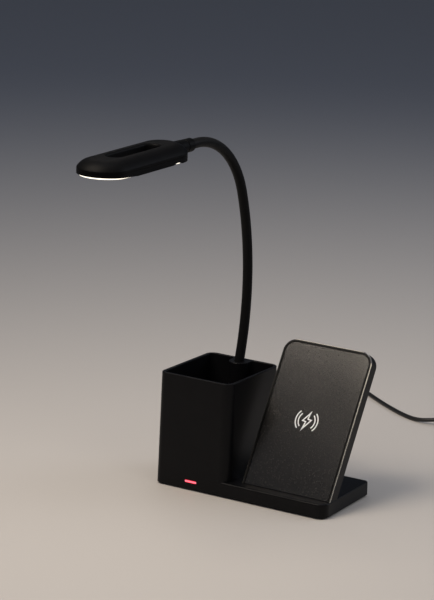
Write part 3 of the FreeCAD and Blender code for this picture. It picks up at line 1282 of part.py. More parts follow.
def all_pieces():
    frame = head_frame()
    pieces = {
        "body_shell": make_body_shell(),
        "bottom_cover": make_bottom_cover(),
        "antislip_mat": make_antislip_mat(),
        "cover_screws": make_cover_screws(),
        "ballast_plate": make_ballast_plate(),
        "main_board": make_main_board(),
        "board_screws": make_board_screws(),
        "power_socket": make_power_socket(),
        "indicator_window": make_indicator_window(),
        "indicator_led": make_indicator_led(),
        "touch_sensor": make_touch_sensor(),
        "neck_ferrule": make_neck_ferrule(),
        "neck_nut": make_neck_nut(),
        "lamp_lead": make_lamp_lead(),
        "panel_case": make_panel_case(),
        "panel_face": make_panel_face(),
        "charge_coil": make_charge_coil(),
        "ferrite_sheet": make_ferrite_sheet(),
        "charger_board": make_charger_board(),
        "panel_screws": make_panel_screws(),
        "charger_lead": make_charger_lead(),
        "head_top_shell": make_head_top_shell(frame),
        "head_collar": make_head_collar(frame),
        "head_ferrule": make_head_ferrule(frame),
        "head_set_screw": make_head_set_screw(frame),
        "head_lead": make_head_lead(frame),
        "head_lower_frame": make_head_lower_frame(frame),
        "diffuser": make_diffuser(frame),
        "led_board": make_led_board(frame),
        "led_chips": make_led_chips(frame),
        "head_screws": make_head_screws(frame),
        "cord_plug": make_cord_plug(),
        "cord_plug_tongue": make_cord_plug_tongue(),
        "power_cord": make_power_cord(),
        "cord_coil": make_cord_coil(),
        "cord_tie": make_cord_tie(),
        "far_plug": make_far_plug(),
        "far_plug_shell": make_far_plug_shell(),
        "far_plug_tongue": make_far_plug_tongue(),
    }
    pieces.update(make_neck_pieces())
    return pieces


os.makedirs("parts", exist_ok=True)
for node, shape in all_pieces().items():
    if not shape.isValid() or not shape.Solids:
        raise ValueError("%s is not a valid solid" % node)
    shape.exportStep("parts/%s.step" % node)
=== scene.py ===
"""Looks of a black desk lamp with a pen cup and a phone charging panel. Metres, +Z up, the front faces -Y."""
import bmesh
import bpy
import numpy as np
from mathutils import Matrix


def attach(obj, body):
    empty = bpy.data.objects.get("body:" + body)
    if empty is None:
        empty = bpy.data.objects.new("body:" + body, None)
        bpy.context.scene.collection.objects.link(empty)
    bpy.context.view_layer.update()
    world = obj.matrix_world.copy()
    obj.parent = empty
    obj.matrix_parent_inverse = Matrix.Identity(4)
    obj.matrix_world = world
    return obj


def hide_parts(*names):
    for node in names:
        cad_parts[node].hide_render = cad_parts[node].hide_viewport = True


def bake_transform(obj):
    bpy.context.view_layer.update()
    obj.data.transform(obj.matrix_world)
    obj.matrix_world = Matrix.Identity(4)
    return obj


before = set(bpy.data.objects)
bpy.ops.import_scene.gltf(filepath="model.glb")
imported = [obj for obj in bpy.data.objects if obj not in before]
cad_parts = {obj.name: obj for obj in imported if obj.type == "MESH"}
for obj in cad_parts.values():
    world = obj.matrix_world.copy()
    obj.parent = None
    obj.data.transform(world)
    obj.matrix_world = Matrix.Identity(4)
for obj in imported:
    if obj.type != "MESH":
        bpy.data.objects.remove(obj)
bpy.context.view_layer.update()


# View
# The lamp is seen from the front right and a little above, from well back with a long lens.
# The picture is 434 by 600, and the lens is set on its long side.
MM = 0.001
VIEW_AZIMUTH, VIEW_ELEVATION, VIEW_ROLL = np.radians([31.49, 14.48, 2.08])
VIEW_PLACE_MM = (1136.7, -1935.9, 732.0)
SENSOR_MM = 36.0
FOCAL_SHARE = 5.0
FARTHEST = 100.0

sin_a, cos_a = np.sin(VIEW_AZIMUTH), np.cos(VIEW_AZIMUTH)
sin_e, cos_e = np.sin(VIEW_ELEVATION), np.cos(VIEW_ELEVATION)
back = np.array([sin_a * cos_e, -cos_a * cos_e, sin_e])
level = np.array([cos_a, sin_a, 0.0])
upright = np.cross(back, level)
turned = np.eye(4)
turned[:3, 0] = np.cos(VIEW_ROLL) * level + np.sin(VIEW_ROLL) * upright
turned[:3, 1] = np.cos(VIEW_ROLL) * upright - np.sin(VIEW_ROLL) * level
turned[:3, 2] = back
turned[:3, 3] = np.array(VIEW_PLACE_MM) * MM
camera_data = bpy.data.cameras.new("photo_camera")
camera_data.sensor_width = SENSOR_MM
camera_data.lens = SENSOR_MM * FOCAL_SHARE
camera_data.clip_end = FARTHEST
camera = bpy.data.objects.new("photo_camera", camera_data)
camera.matrix_world = turned.T.tolist()
bpy.context.scene.collection.objects.link(camera)
bpy.context.scene.camera = camera
bpy.context.scene.view_settings.view_transform = "Standard"


# Table and light
# A plain pale laminate table top under five soft boxes. Its colour is painted darker and bluer with distance
# from the lamp, as painted shade where the light falls off far behind. The key box stands where the panel
# mirrors it from above its middle, the side and back boxes each light one bevel, and the rear box lifts the
# backs. With the air they show a grey card at about the grey that it is.
FLOOR_RADIUS = 7.0
FLOOR_SIDES = 96
FLOOR_NEAR, FLOOR_PAINTED_DUSK = "#c0bbb5", "#70747e"
FLOOR_PAINTED_DUSK_SPAN = (0.2, 1.9)
FLOOR_GRAIN_MM = 1.6
AIR_COLOUR, AIR_STRENGTH = "#dfe4ee", 0.3
BACKDROP_COLOUR, BACKDROP_STRENGTH = "#3c414b", 1.0
SOFT_BOXES = {
    "key_box": ((-0.22, -0.443, 0.87), (0.286, 0.192, 0.287), (0.48, 0.48), 7.5, "#fff1e0"),
    "side_box": ((1.224, -0.469, 0.962), (0.383, -0.125, 0.545), (0.6, 0.6), 1.8, "#fff4e6"),
    "back_box": ((-0.80, 0.96, 1.10), (0.0, 0.0, 0.12), (0.5, 0.3), 0.5, "#fff4e6"),
    "top_box": ((-0.1, 0.1, 1.9), (0.0, 0.0, 0.0), (1.4, 1.4), 6.0, "#f2f4ff"),
    "rear_box": ((0.95, 1.05, 0.85), (0.0, 0.0, 0.12), (0.8, 0.8), 5.0, "#eef3ff"),
}


def linear(hex_colour):
    """sRGB hex to linear RGBA: straight near black and a power of 2.4 above."""
    srgb = np.array([int(hex_colour[i:i + 2], 16) for i in (1, 3, 5)]) / 255
    value = np.where(srgb <= 0.04045, srgb / 12.92, ((srgb + 0.055) / 1.055) ** 2.4)
    return (*value.tolist(), 1.0)


def add_node(tree, kind, inputs, output=0, **settings):
    """Adds one node with its settings and gives back one output. Sockets are linked, other inputs are set."""
    node = tree.nodes.new("ShaderNode" + kind)
    for name, value in settings.items():
        setattr(node, name, value)
    for socket, value in inputs.items():
        if isinstance(value, bpy.types.NodeSocket):
            tree.links.new(value, node.inputs[socket])
        else:
            node.inputs[socket].default_value = value
    return node.outputs[output] if node.outputs else None


def start_material(name):
    """New material with an empty tree, and the piece's own Object coordinates to draw patterns on."""
    material = bpy.data.materials.new(name)
    material.use_nodes = True
    tree = material.node_tree
    tree.nodes.clear()
    return material, tree, add_node(tree, "TexCoord", {}, "Object")


around = np.linspace(0, 2 * np.pi, FLOOR_SIDES, endpoint=False)
floor_rim = np.stack([np.cos(around), np.sin(around), 0 * around], 1) * FLOOR_RADIUS
floor_mesh = bpy.data.meshes.new("table_top")
floor_mesh.from_pydata(floor_rim.tolist(), [], [list(range(FLOOR_SIDES))])
floor = bpy.data.objects.new("table_top", floor_mesh)
bpy.context.scene.collection.objects.link(floor)
# Satin laminate: a faint mottle of gloss keeps the wide surface from looking painted.
table_top, tree, where = start_material("satin_laminate_table")
# Painted shade: the colour runs from pale near the lamp to a dusky grey-blue far off, for light falling away
# behind.
distance = add_node(tree, "VectorMath", {0: where}, "Value", operation="LENGTH")
painted_dusk = add_node(tree, "MapRange", {0: distance, 1: FLOOR_PAINTED_DUSK_SPAN[0], 2: FLOOR_PAINTED_DUSK_SPAN[1]},
                interpolation_type="SMOOTHSTEP")
tint = add_node(tree, "Mix", {0: painted_dusk, 6: linear(FLOOR_NEAR), 7: linear(FLOOR_PAINTED_DUSK)}, 2, data_type="RGBA")
mottle = add_node(tree, "TexNoise", {"Vector": where, "Scale": 1 / (FLOOR_GRAIN_MM * MM), "Detail": 2.0})
dullness = add_node(tree, "MapRange", {0: mottle, 3: 0.5, 4: 0.66})
shader = add_node(tree, "BsdfPrincipled", {"Base Color": tint, "IOR": 1.5, "Roughness": dullness})
add_node(tree, "OutputMaterial", {"Surface": shader})
floor_mesh.materials.append(table_top)

for name, (place, aim, size, watts, colour) in SOFT_BOXES.items():
    lamp_data = bpy.data.lights.new(name, "AREA")
    lamp_data.shape = "RECTANGLE"
    lamp_data.size, lamp_data.size_y = size
    lamp_data.energy = watts
    lamp_data.color = linear(colour)[:3]
    lamp = bpy.data.objects.new(name, lamp_data)
    outward = np.array(place) - np.array(aim)
    outward /= np.linalg.norm(outward)
    across = np.cross((0, 0, 1), outward)
    across /= np.linalg.norm(across)
    stand = np.eye(4)
    stand[:3, 0], stand[:3, 1], stand[:3, 2], stand[:3, 3] = across, np.cross(outward, across), outward, place
    lamp.matrix_world = stand.T.tolist()
    bpy.context.scene.collection.objects.link(lamp)

# The air lights matt surfaces, while the camera, gloss and clear pieces see the dusky backdrop.
world = bpy.data.worlds.new("studio_air")
bpy.context.scene.world = world
world.use_nodes = True
tree = world.node_tree
tree.nodes.clear()
seen = add_node(tree, "LightPath", {}, "Is Camera Ray")
for ray in ("Is Glossy Ray", "Is Transmission Ray"):
    seen = add_node(tree, "Math", {0: seen, 1: add_node(tree, "LightPath", {}, ray)}, operation="MAXIMUM")
air = add_node(tree, "Background", {"Color": linear(AIR_COLOUR), "Strength": AIR_STRENGTH})
backdrop = add_node(tree, "Background", {"Color": linear(BACKDROP_COLOUR), "Strength": BACKDROP_STRENGTH})
shown = add_node(tree, "MixShader", {0: seen, 1: air, 2: backdrop})
add_node(tree, "OutputWorld", {"Surface": shown})


# Power cord
# A round two-core lead, 3.4 mm thick and 1.2 m long, with a sheath of soft black PVC.
# It leaves its plug behind the cup, bends round behind the panel, and the spare length is wound and tied.
CORD_DIAMETER_MM = 3.4
CORD_MIDDLE_X, SOCKET_AXIS_MM, CORD_FLOOR_MM = -43.95, 7.85, 1.75
CORD_ROUTE_MM = [
    (CORD_MIDDLE_X, 70.6, SOCKET_AXIS_MM), (CORD_MIDDLE_X, 82.0, SOCKET_AXIS_MM), (-43.9, 104.0, 3.0),
    (-45.5, 129.0, CORD_FLOOR_MM), (-49.5, 156.0, CORD_FLOOR_MM), (-58.5, 187.0, CORD_FLOOR_MM),
    (-71.0, 219.0, CORD_FLOOR_MM), (-85.0, 247.0, CORD_FLOOR_MM), (-95.0, 264.3, CORD_FLOOR_MM),
    (-94.6, 275.0, CORD_FLOOR_MM), (-88.8, 284.0, CORD_FLOOR_MM), (-79.1, 288.5, CORD_FLOOR_MM),
    (-68.5, 287.4, CORD_FLOOR_MM), (-52.8, 274.9, CORD_FLOOR_MM), (-30.0, 258.6, CORD_FLOOR_MM),
    (-8.0, 245.2, CORD_FLOOR_MM), (8.5, 239.2, 1.9), (24.5, 240.4, 4.9),
]
COIL_TURNS = 6
COIL_POINTS_PER_TURN = 24
COIL_PITCH_MM = 3.86
COIL_OUTER_MM = 25.79
COIL_CENTRE_MM = (44.8, 274.6)
COIL_FLOOR_MM = 2.85
COIL_START = np.radians(-67.0)
TAIL_RUN_MM = 17.0
TAIL_STEPS = (1.0, 2.0, 2.8)
TAIL_LIFT_MM = 1.25
NEAR_PLUG_MM, NEAR_PLUG_FRONT_Y_MM = (12.4, 6.6, 18.0), 38.6
FAR_PLUG_MM = (15.5, 8.2, 24.0)
BOOT_MM = (14.0, 2.9, 2.1)
PLUG_SHAPE, PLUG_SIDES = 3.2, 72
BODY_SECTIONS, SHOULDER_SECTIONS, BOOT_SECTIONS = 60, 9, 80
PLUG_EDGE_MM, PLUG_SHOULDER_MM = 0.8, 2.3
GRIP_FROM, GRIP_TO = 0.3, 0.78
GRIP_PITCH_MM, GRIP_DEPTH_MM = 1.8, 0.22
BOOT_RIB_PITCH_MM, BOOT_RIB_DEPTH_MM = 2.3, 0.38


def coil_line(angle):
    """Spiral in on top and out below: the radius loses a pitch in each turn to the middle, then gains it.

    The height falls by a pitch in the half turn around the middle, along half a cosine.
    """
    halfway = np.pi * COIL_TURNS
    soft = np.pi / 4
    away = np.abs(angle - halfway)
    away = np.where(away < soft, (away ** 2 / soft + soft) / 2, away)
    radius = COIL_OUTER_MM - COIL_PITCH_MM * (halfway - away) / (2 * np.pi)
    sunk = np.clip((angle - halfway) / np.pi + 0.5, 0, 1)
    height = COIL_FLOOR_MM + COIL_PITCH_MM * (1 + np.cos(np.pi * sunk)) / 2
    turned = COIL_START + angle
    return np.stack([COIL_CENTRE_MM[0] + radius * np.cos(turned),
                     COIL_CENTRE_MM[1] + radius * np.sin(turned), height], -1)


def show(name, mesh, material, body):
    """Object of a finished mesh, with its material, and on its body if one is given."""
    piece = bpy.data.objects.new(name, mesh)
    bpy.context.scene.collection.objects.link(piece)
    mesh.materials.append(material)
    if body:
        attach(piece, body)
    return piece


def skin(name, rings):
    """Closed mesh of m rings of n points; both ends are fanned to their middles."""
    m, n = rings.shape[:2]
    points = np.concatenate([rings.reshape(-1, 3), rings[[0, -1]].mean(1)])
    i, j = np.meshgrid(np.arange(m - 1), np.arange(n), indexing="ij")
    after = (j + 1) % n
    quads = np.stack([i * n + j, i * n + after, (i + 1) * n + after, (i + 1) * n + j], -1).reshape(-1, 4)
    k = np.arange(n)
    first_fan = np.stack([0 * k + m * n, (k + 1) % n, k], 1)
    last_fan = np.stack([0 * k + m * n + 1, (m - 1) * n + k, (m - 1) * n + (k + 1) % n], 1)
    mesh = bpy.data.meshes.new(name)
    mesh.from_pydata((points * MM).tolist(), [], quads.tolist() + first_fan.tolist() + last_fan.tolist())
    mesh.update()
    return mesh


def shade(work, mesh, sharp_degrees):
    """Ends work on a mesh: smooth faces, and a crisp edge wherever two faces meet at more than the angle."""
    limit = np.radians(sharp_degrees)
    for face in work.faces:
        face.smooth = True
    for edge in work.edges:
        edge.smooth = len(edge.link_faces) == 2 and edge.calc_face_angle() < limit
    work.to_mesh(mesh)
    work.free()
    return mesh


def face_outwards(mesh, sharp_degrees):
    """Turns every face of a closed mesh outwards and shades it."""
    work = bmesh.new()
    work.from_mesh(mesh)
    bmesh.ops.recalc_face_normals(work, faces=work.faces)
    return shade(work, mesh, sharp_degrees)


def plug_skin(name, place, way, size, boot):
    """Superellipse sections along the plug: rounded front, ribbed grip, shoulders, then a ribbed taper.

    A section's half width w and half height h give x = w |cos|^(2/n) and z = h |sin|^(2/n), n falling to 2.
    """
    width, height, length = size
    boot_length, boot_radius, boot_end = boot
    front = np.array([0.0, 0.15, 0.5, 1.0])
    grip = np.linspace(1.3, length - PLUG_SHOULDER_MM - 0.1, BODY_SECTIONS)
    shoulder = np.linspace(length - PLUG_SHOULDER_MM + 0.1, length, SHOULDER_SECTIONS)
    along_boot = np.linspace(length + 0.1, length + boot_length, BOOT_SECTIONS)
    s = np.concatenate([front, grip, shoulder, along_boot])
    to_edge = np.clip(PLUG_EDGE_MM - s, 0, PLUG_EDGE_MM)
    rounded = PLUG_EDGE_MM - np.sqrt(np.clip(PLUG_EDGE_MM ** 2 - to_edge ** 2, 0, None))
    gripped = (s > length * GRIP_FROM) & (s < length * GRIP_TO)
    rib = GRIP_DEPTH_MM * (0.5 - 0.5 * np.cos(2 * np.pi * s / GRIP_PITCH_MM)) * gripped
    narrowing = np.clip((s - (length - PLUG_SHOULDER_MM)) / PLUG_SHOULDER_MM, 0, 1)
    narrowing = narrowing ** 2 * (3 - 2 * narrowing)
    taper = boot_radius + (boot_end - boot_radius) * np.clip((s - length) / boot_length, 0, 1)
    # The boot's ribs start 1.5 mm behind the plug and end 1 mm before the tip, growing and fading softly.
    deep = np.clip((s - length - 1.5) / 2, 0, 1) * np.clip((length + boot_length - 1.0 - s) / 1.5, 0, 1)
    boot_wave = 0.5 - 0.5 * np.cos(2 * np.pi * (s - length) / BOOT_RIB_PITCH_MM)
    taper = taper - deep * BOOT_RIB_DEPTH_MM * boot_wave
    half_width = (width / 2 - rounded - rib) * (1 - narrowing) + taper * narrowing
    half_height = (height / 2 - rounded) * (1 - narrowing) + taper * narrowing
    power = 2 / (PLUG_SHAPE + (2 - PLUG_SHAPE) * narrowing)
    t = np.linspace(0, 2 * np.pi, PLUG_SIDES, endpoint=False)
    cos_t, sin_t = np.cos(t), np.sin(t)
    x = half_width[:, None] * np.sign(cos_t) * np.abs(cos_t) ** power[:, None]
    z = half_height[:, None] * np.sign(sin_t) * np.abs(sin_t) ** power[:, None]
    way = np.array(way)
    side = np.cross(way, (0, 0, 1))
    rings = np.array(place) + x[..., None] * side + z[..., None] * np.array([0, 0, 1.0])
    rings = rings + s[:, None, None] * way
    return face_outwards(skin(name, rings), sharp_degrees=40)


def refinish(material, *nodes):
    """Gives CAD nodes, which are shown as they are, this material alone."""
    for node in nodes:
        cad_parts[node].data.materials.clear()
        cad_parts[node].data.materials.append(material)


# Extruded PVC: satin black, with a slight wave of gloss where the sheath cooled unevenly.
cord_sheath, tree, where = start_material("extruded_black_pvc")
cooled = add_node(tree, "TexNoise", {"Vector": where, "Scale": 1 / (9.0 * MM), "Detail": 3.0})
drawn = add_node(tree, "TexNoise", {"Vector": where, "Scale": 1 / (0.7 * MM), "Detail": 2.0})
tint = add_node(tree, "Mix", {0: cooled, 6: linear("#0c0c0d"), 7: linear("#151516")}, 2, data_type="RGBA")
dullness = add_node(tree, "MapRange", {0: cooled, 3: 0.36, 4: 0.52})
relief = add_node(tree, "Bump", {"Height": drawn, "Distance": 0.03 * MM, "Strength": 0.5})
shader = add_node(tree, "BsdfPrincipled",
                  {"Base Color": tint, "IOR": 1.53, "Roughness": dullness, "Normal": relief})
add_node(tree, "OutputMaterial", {"Surface": shader})

# Moulded PVC of the plugs: the same compound, duller, from a spark-eroded mould. Its pits are finer than half
# a millimetre and are drawn at that size, so that they show.
plug_pvc, tree, where = start_material("moulded_black_pvc")
cloud = add_node(tree, "TexNoise", {"Vector": where, "Scale": 1 / (6.0 * MM), "Detail": 2.0})
eroded = add_node(tree, "TexNoise", {"Vector": where, "Scale": 1 / (0.5 * MM), "Detail": 3.0})
tint = add_node(tree, "Mix", {0: cloud, 6: linear("#141415"), 7: linear("#1e1e20")}, 2, data_type="RGBA")
dullness = add_node(tree, "MapRange", {0: eroded, 3: 0.46, 4: 0.62})
relief = add_node(tree, "Bump", {"Height": eroded, "Distance": 0.04 * MM, "Strength": 0.6})
shader = add_node(tree, "BsdfPrincipled",
                  {"Base Color": tint, "IOR": 1.53, "Roughness": dullness, "Normal": relief})
add_node(tree, "OutputMaterial", {"Surface": shader})

# Drawn and nickel-plated steel shell: bright, with lengthwise draw lines, coarser here than they really are.
plated_steel, tree, where = start_material("nickel_plated_steel")
lengthwise = add_node(tree, "Mapping", {"Vector": where, "Scale": (1.0, 0.08, 1.0)})
lines = add_node(tree, "TexNoise", {"Vector": lengthwise, "Scale": 1 / (0.3 * MM), "Detail": 2.0})
tint = add_node(tree, "Mix", {0: lines, 6: linear("#b4b1aa"), 7: linear("#d0cdc6")}, 2, data_type="RGBA")
dullness = add_node(tree, "MapRange", {0: lines, 3: 0.2, 4: 0.34})
relief = add_node(tree, "Bump", {"Height": lines, "Distance": 0.01 * MM, "Strength": 0.3})
shader = add_node(tree, "BsdfPrincipled",
                  {"Base Color": tint, "Metallic": 1.0, "Roughness": dullness, "Normal": relief})
add_node(tree, "OutputMaterial", {"Surface": shader})

# Woven nylon hook band: matt. Its weave is too fine to show, so it is drawn as slanting ribs 1.3 mm apart. At
# a scale of 1 the wave's own period is 0.3628.
tie_nylon, tree, where = start_material("woven_nylon_band")
weave = add_node(tree, "TexWave", {"Vector": where, "Scale": 0.3628 / (1.306 * MM), "Distortion": 0.6}, 1,
                 wave_type="BANDS", bands_direction="DIAGONAL")
tint = add_node(tree, "Mix", {0: weave, 6: linear("#1a1a1c"), 7: linear("#2d2d30")}, 2, data_type="RGBA")
relief = add_node(tree, "Bump", {"Height": weave, "Distance": 0.12 * MM, "Strength": 0.6})
shader = add_node(tree, "BsdfPrincipled",
                  {"Base Color": tint, "Roughness": 0.8, "Sheen Weight": 0.4, "IOR": 1.53, "Normal": relief})
add_node(tree, "OutputMaterial", {"Surface": shader})

# White contact carrier inside the far plug, semi-gloss glass-filled polyamide: its fibres mottle it faintly.
contact_carrier, tree, where = start_material("glass_filled_polyamide")
fibres = add_node(tree, "TexNoise", {"Vector": where, "Scale": 1 / (0.8 * MM), "Detail": 4.0})
tint = add_node(tree, "Mix", {0: fibres, 6: linear("#dedcd4"), 7: linear("#eeece6")}, 2, data_type="RGBA")
dullness = add_node(tree, "MapRange", {0: fibres, 3: 0.4, 4: 0.55})
relief = add_node(tree, "Bump", {"Height": fibres, "Distance": 0.02 * MM, "Strength": 0.4})
shader = add_node(tree, "BsdfPrincipled",
                  {"Base Color": tint, "IOR": 1.53, "Roughness": dullness, "Normal": relief})
add_node(tree, "OutputMaterial", {"Surface": shader})

coil_angles = np.linspace(0, 2 * np.pi * COIL_TURNS, COIL_TURNS * COIL_POINTS_PER_TURN + 1)
coil_way = np.array([-np.sin(COIL_START), np.cos(COIL_START), 0.0])
coil_mm = coil_line(coil_angles)
lead_in_mm = coil_mm[0] - coil_way * TAIL_RUN_MM
tail_mm = coil_mm[-1] + np.outer(TAIL_STEPS, coil_way) * TAIL_RUN_MM
tail_mm[1:, 2] += TAIL_LIFT_MM
cord_mm = np.concatenate([CORD_ROUTE_MM, [lead_in_mm], coil_mm, tail_mm])
cord_curve = bpy.data.curves.new("power_cord_line", "CURVE")
cord_curve.dimensions = "3D"
cord_spline = cord_curve.splines.new("NURBS")
cord_spline.points.add(len(cord_mm) - 1)
weighted = np.concatenate([cord_mm * MM, np.ones((len(cord_mm), 1))], 1)
cord_spline.points.foreach_set("co", weighted.ravel())
cord_spline.order_u = 3
cord_spline.use_endpoint_u = True
cord_curve.resolution_u = 8
cord_curve.bevel_depth = CORD_DIAMETER_MM / 2 * MM
cord_curve.bevel_resolution = 6
cord_curve.use_fill_caps = True
cord = show("cord_line", cord_curve, cord_sheath, "base")
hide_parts("power_cord", "cord_coil")

near_front_mm = (CORD_MIDDLE_X, NEAR_PLUG_FRONT_Y_MM, SOCKET_AXIS_MM)
near_plug = show("near_plug_overmould",
                 plug_skin("near_plug_overmould", near_front_mm, (0, 1.0, 0), NEAR_PLUG_MM, BOOT_MM),
                 plug_pvc, "base")
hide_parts("cord_plug")
far_front_mm = tail_mm[-1] + coil_way * (FAR_PLUG_MM[2] + BOOT_MM[0])
far_plug = show("far_plug_overmould",
                plug_skin("far_plug_overmould", far_front_mm, -coil_way, FAR_PLUG_MM, BOOT_MM),
                plug_pvc, "base")
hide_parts("far_plug")
refinish(plated_steel, "far_plug_shell", "cord_plug_tongue")
refinish(contact_carrier, "far_plug_tongue")
refinish(tie_nylon, "cord_tie")


# Base and pen cup
# One moulding of black ABS: a low slab, a square cup and the half-round neck boss on the cup's back wall.
# The mould gives it a satin grain, drawn coarser than it is so that it shows. Its gloss is under that of real
# ABS, so that it stays black over a pale table.
SATIN_BLACK = ("#08080a", "#0e0e10")
SATIN_ROUGHNESS = 0.38
SATIN_GLOSS = 0.12
SATIN_GRAIN_MM, SATIN_RELIEF_MM = 0.45, 0.03
CLOUD_MM = 14.0
ROUGHNESS_SWING = 0.07
WELD_DISTANCE, SPECK_DISTANCE = 2e-6, 1e-7


def moulded_plastic(name, colours, roughness, grain_mm, relief_mm, gloss=SATIN_GLOSS):
    """Grained moulding: two close colours in slow clouds, roughness and relief from the mould's grain."""
    material, tree, where = start_material(name)
    cloud = add_node(tree, "TexNoise", {"Vector": where, "Scale": 1 / (CLOUD_MM * MM), "Detail": 3.0})
    grain = add_node(tree, "TexNoise", {"Vector": where, "Scale": 1 / (grain_mm * MM), "Detail": 3.0})
    first, last = (linear(colour) for colour in colours)
    tint = add_node(tree, "Mix", {0: cloud, 6: first, 7: last}, 2, data_type="RGBA")
    dullness = add_node(tree, "MapRange",
                        {0: grain, 3: roughness - ROUGHNESS_SWING, 4: roughness + ROUGHNESS_SWING})
    relief = add_node(tree, "Bump", {"Height": grain, "Distance": relief_mm * MM, "Strength": 0.55})
    shader = add_node(tree, "BsdfPrincipled", {"Base Color": tint, "IOR": 1.54, "Specular IOR Level": gloss,
                                               "Roughness": dullness, "Normal": relief})
    add_node(tree, "OutputMaterial", {"Surface": shader})
    return material


def merged_copy(node, sharp_degrees):
    """Mesh of a CAD node with its loose triangles joined at their shared points, crisp at sharp edges."""
    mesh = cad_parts[node].data.copy()
    mesh.materials.clear()
    work = bmesh.new()
    work.from_mesh(mesh)
    bmesh.ops.remove_doubles(work, verts=work.verts, dist=WELD_DISTANCE)
    bmesh.ops.dissolve_degenerate(work, edges=work.edges, dist=SPECK_DISTANCE)
    shade(work, mesh, sharp_degrees)
    if "custom_normal" in mesh.attributes:
        mesh.attributes.remove(mesh.attributes["custom_normal"])
    return mesh


def stand_in(node, name, material, body, sharp_degrees=24):
    """Merged copy shown for a CAD node. Flat faces keep their normals, so only rounded edges shade off."""
    piece = show(name, merged_copy(node, sharp_degrees), material, body)
    weighting = piece.modifiers.new("flat_faces_stay_flat", "WEIGHTED_NORMAL")
    weighting.mode = "FACE_AREA"
    weighting.keep_sharp = True
    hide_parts(node)
    return piece


satin_abs = moulded_plastic("satin_black_abs", SATIN_BLACK, SATIN_ROUGHNESS, SATIN_GRAIN_MM,
                            SATIN_RELIEF_MM)
stand_in("body_shell", "base_and_cup", satin_abs, "base")

# Underside: a dull textured cover, held by six screws, and a thin foamed mat, duller still, that grips the
# table.
cover_abs = moulded_plastic("textured_black_abs", ("#1b1b1c", "#242426"),
                            roughness=0.62, grain_mm=0.8, relief_mm=0.07)
mat_eva = moulded_plastic("foamed_black_eva", ("#151516", "#222224"),
                          roughness=0.86, grain_mm=1.1, relief_mm=0.18)
stand_in("bottom_cover", "underside_cover", cover_abs, "base")
stand_in("antislip_mat", "grip_mat", mat_eva, "base")

# Zinc-plated steel screws and nut: cool grey, yellowed in faint clouds by the passivation.
zinc_steel, tree, where = start_material("zinc_plated_steel")
passivated = add_node(tree, "TexNoise", {"Vector": where, "Scale": 1 / (2.5 * MM), "Detail": 3.0})
tint = add_node(tree, "Mix", {0: passivated, 6: linear("#9b9c9e"), 7: linear("#bcbab2")}, 2, data_type="RGBA")
dullness = add_node(tree, "MapRange", {0: passivated, 3: 0.28, 4: 0.46})
shader = add_node(tree, "BsdfPrincipled", {"Base Color": tint, "Metallic": 1.0, "Roughness": dullness})
add_node(tree, "OutputMaterial", {"Surface": shader})

# Rolled mild steel of the ballast plate, the ferrules and the neck's core: dark, streaked along the rolling.
rolled_steel, tree, where = start_material("rolled_mild_steel")
rolling = add_node(tree, "Mapping", {"Vector": where, "Scale": (0.06, 1.0, 1.0)})
streaks = add_node(tree, "TexNoise", {"Vector": rolling, "Scale": 1 / (0.7 * MM), "Detail": 4.0})
tint = add_node(tree, "Mix", {0: streaks, 6: linear("#4e4d4b"), 7: linear("#6f6e6b")}, 2, data_type="RGBA")
dullness = add_node(tree, "MapRange", {0: streaks, 3: 0.42, 4: 0.6})
relief = add_node(tree, "Bump", {"Height": streaks, "Distance": 0.02 * MM, "Strength": 0.4})
shader = add_node(tree, "BsdfPrincipled",
                  {"Base Color": tint, "Metallic": 1.0, "Roughness": dullness, "Normal": relief})
add_node(tree, "OutputMaterial", {"Surface": shader})

# Glass-epoxy board under green solder mask: copper tracks show as paler lines, in rows 2.5 mm apart. At a
# scale of 1 a row of the pattern is 0.25 high.
board_epoxy, tree, where = start_material("solder_masked_glass_epoxy")
tracks = add_node(tree, "TexBrick",
                  {"Vector": where, "Scale": 0.25 / (2.5 * MM), "Mortar Size": 0.03,
                   "Mortar": linear("#2f7a4a"), "Color1": linear("#0f4a2c"), "Color2": linear("#12532f")})
shader = add_node(tree, "BsdfPrincipled", {"Base Color": tracks, "Roughness": 0.3, "IOR": 1.55})
add_node(tree, "OutputMaterial", {"Surface": shader})

# Enamelled copper winding wire: bright, with its 0.6 mm strands drawn as a mottle of that size.
copper_wire, tree, where = start_material("enamelled_copper")
strands = add_node(tree, "TexNoise", {"Vector": where, "Scale": 1 / (0.6 * MM), "Detail": 2.0})
tint = add_node(tree, "Mix", {0: strands, 6: linear("#b0623a"), 7: linear("#cf8152")}, 2, data_type="RGBA")
dullness = add_node(tree, "MapRange", {0: strands, 3: 0.25, 4: 0.4})
relief = add_node(tree, "Bump", {"Height": strands, "Distance": 0.08 * MM, "Strength": 0.5})
shader = add_node(tree, "BsdfPrincipled",
                  {"Base Color": tint, "Metallic": 1.0, "Roughness": dullness, "Normal": relief})
add_node(tree, "OutputMaterial", {"Surface": shader})

# Sintered ferrite is dull and dark grey, the leads' soft PVC pale and satin, the lamp's epoxy cream and
# glossy.
ferrite = moulded_plastic("sintered_ferrite", ("#2a2a2c", "#353537"),
                          roughness=0.7, grain_mm=0.5, relief_mm=0.05)
lead_pvc = moulded_plastic("soft_lead_pvc", ("#b9b7b0", "#cfcdc6"),
                           roughness=0.5, grain_mm=1.2, relief_mm=0.03)
led_epoxy = moulded_plastic("clear_led_epoxy", ("#e9dcb0", "#f1e6c4"),
                            roughness=0.3, grain_mm=0.9, relief_mm=0.02)
hidden_finishes = {
    zinc_steel: ["cover_screws", "board_screws", "panel_screws", "head_screws", "head_set_screw", "neck_nut"],
    rolled_steel: ["ballast_plate", "neck_ferrule", "head_ferrule", "neck_core_lower", "neck_core_middle",
                   "neck_core_upper"],
    board_epoxy: ["main_board", "charger_board"],
    plated_steel: ["power_socket"],
    copper_wire: ["charge_coil", "touch_sensor"],
    ferrite: ["ferrite_sheet"],
    lead_pvc: ["lamp_lead", "charger_lead", "head_lead"],
    led_epoxy: ["indicator_led"],
}
for material, members in hidden_finishes.items():
    refinish(material, *members)


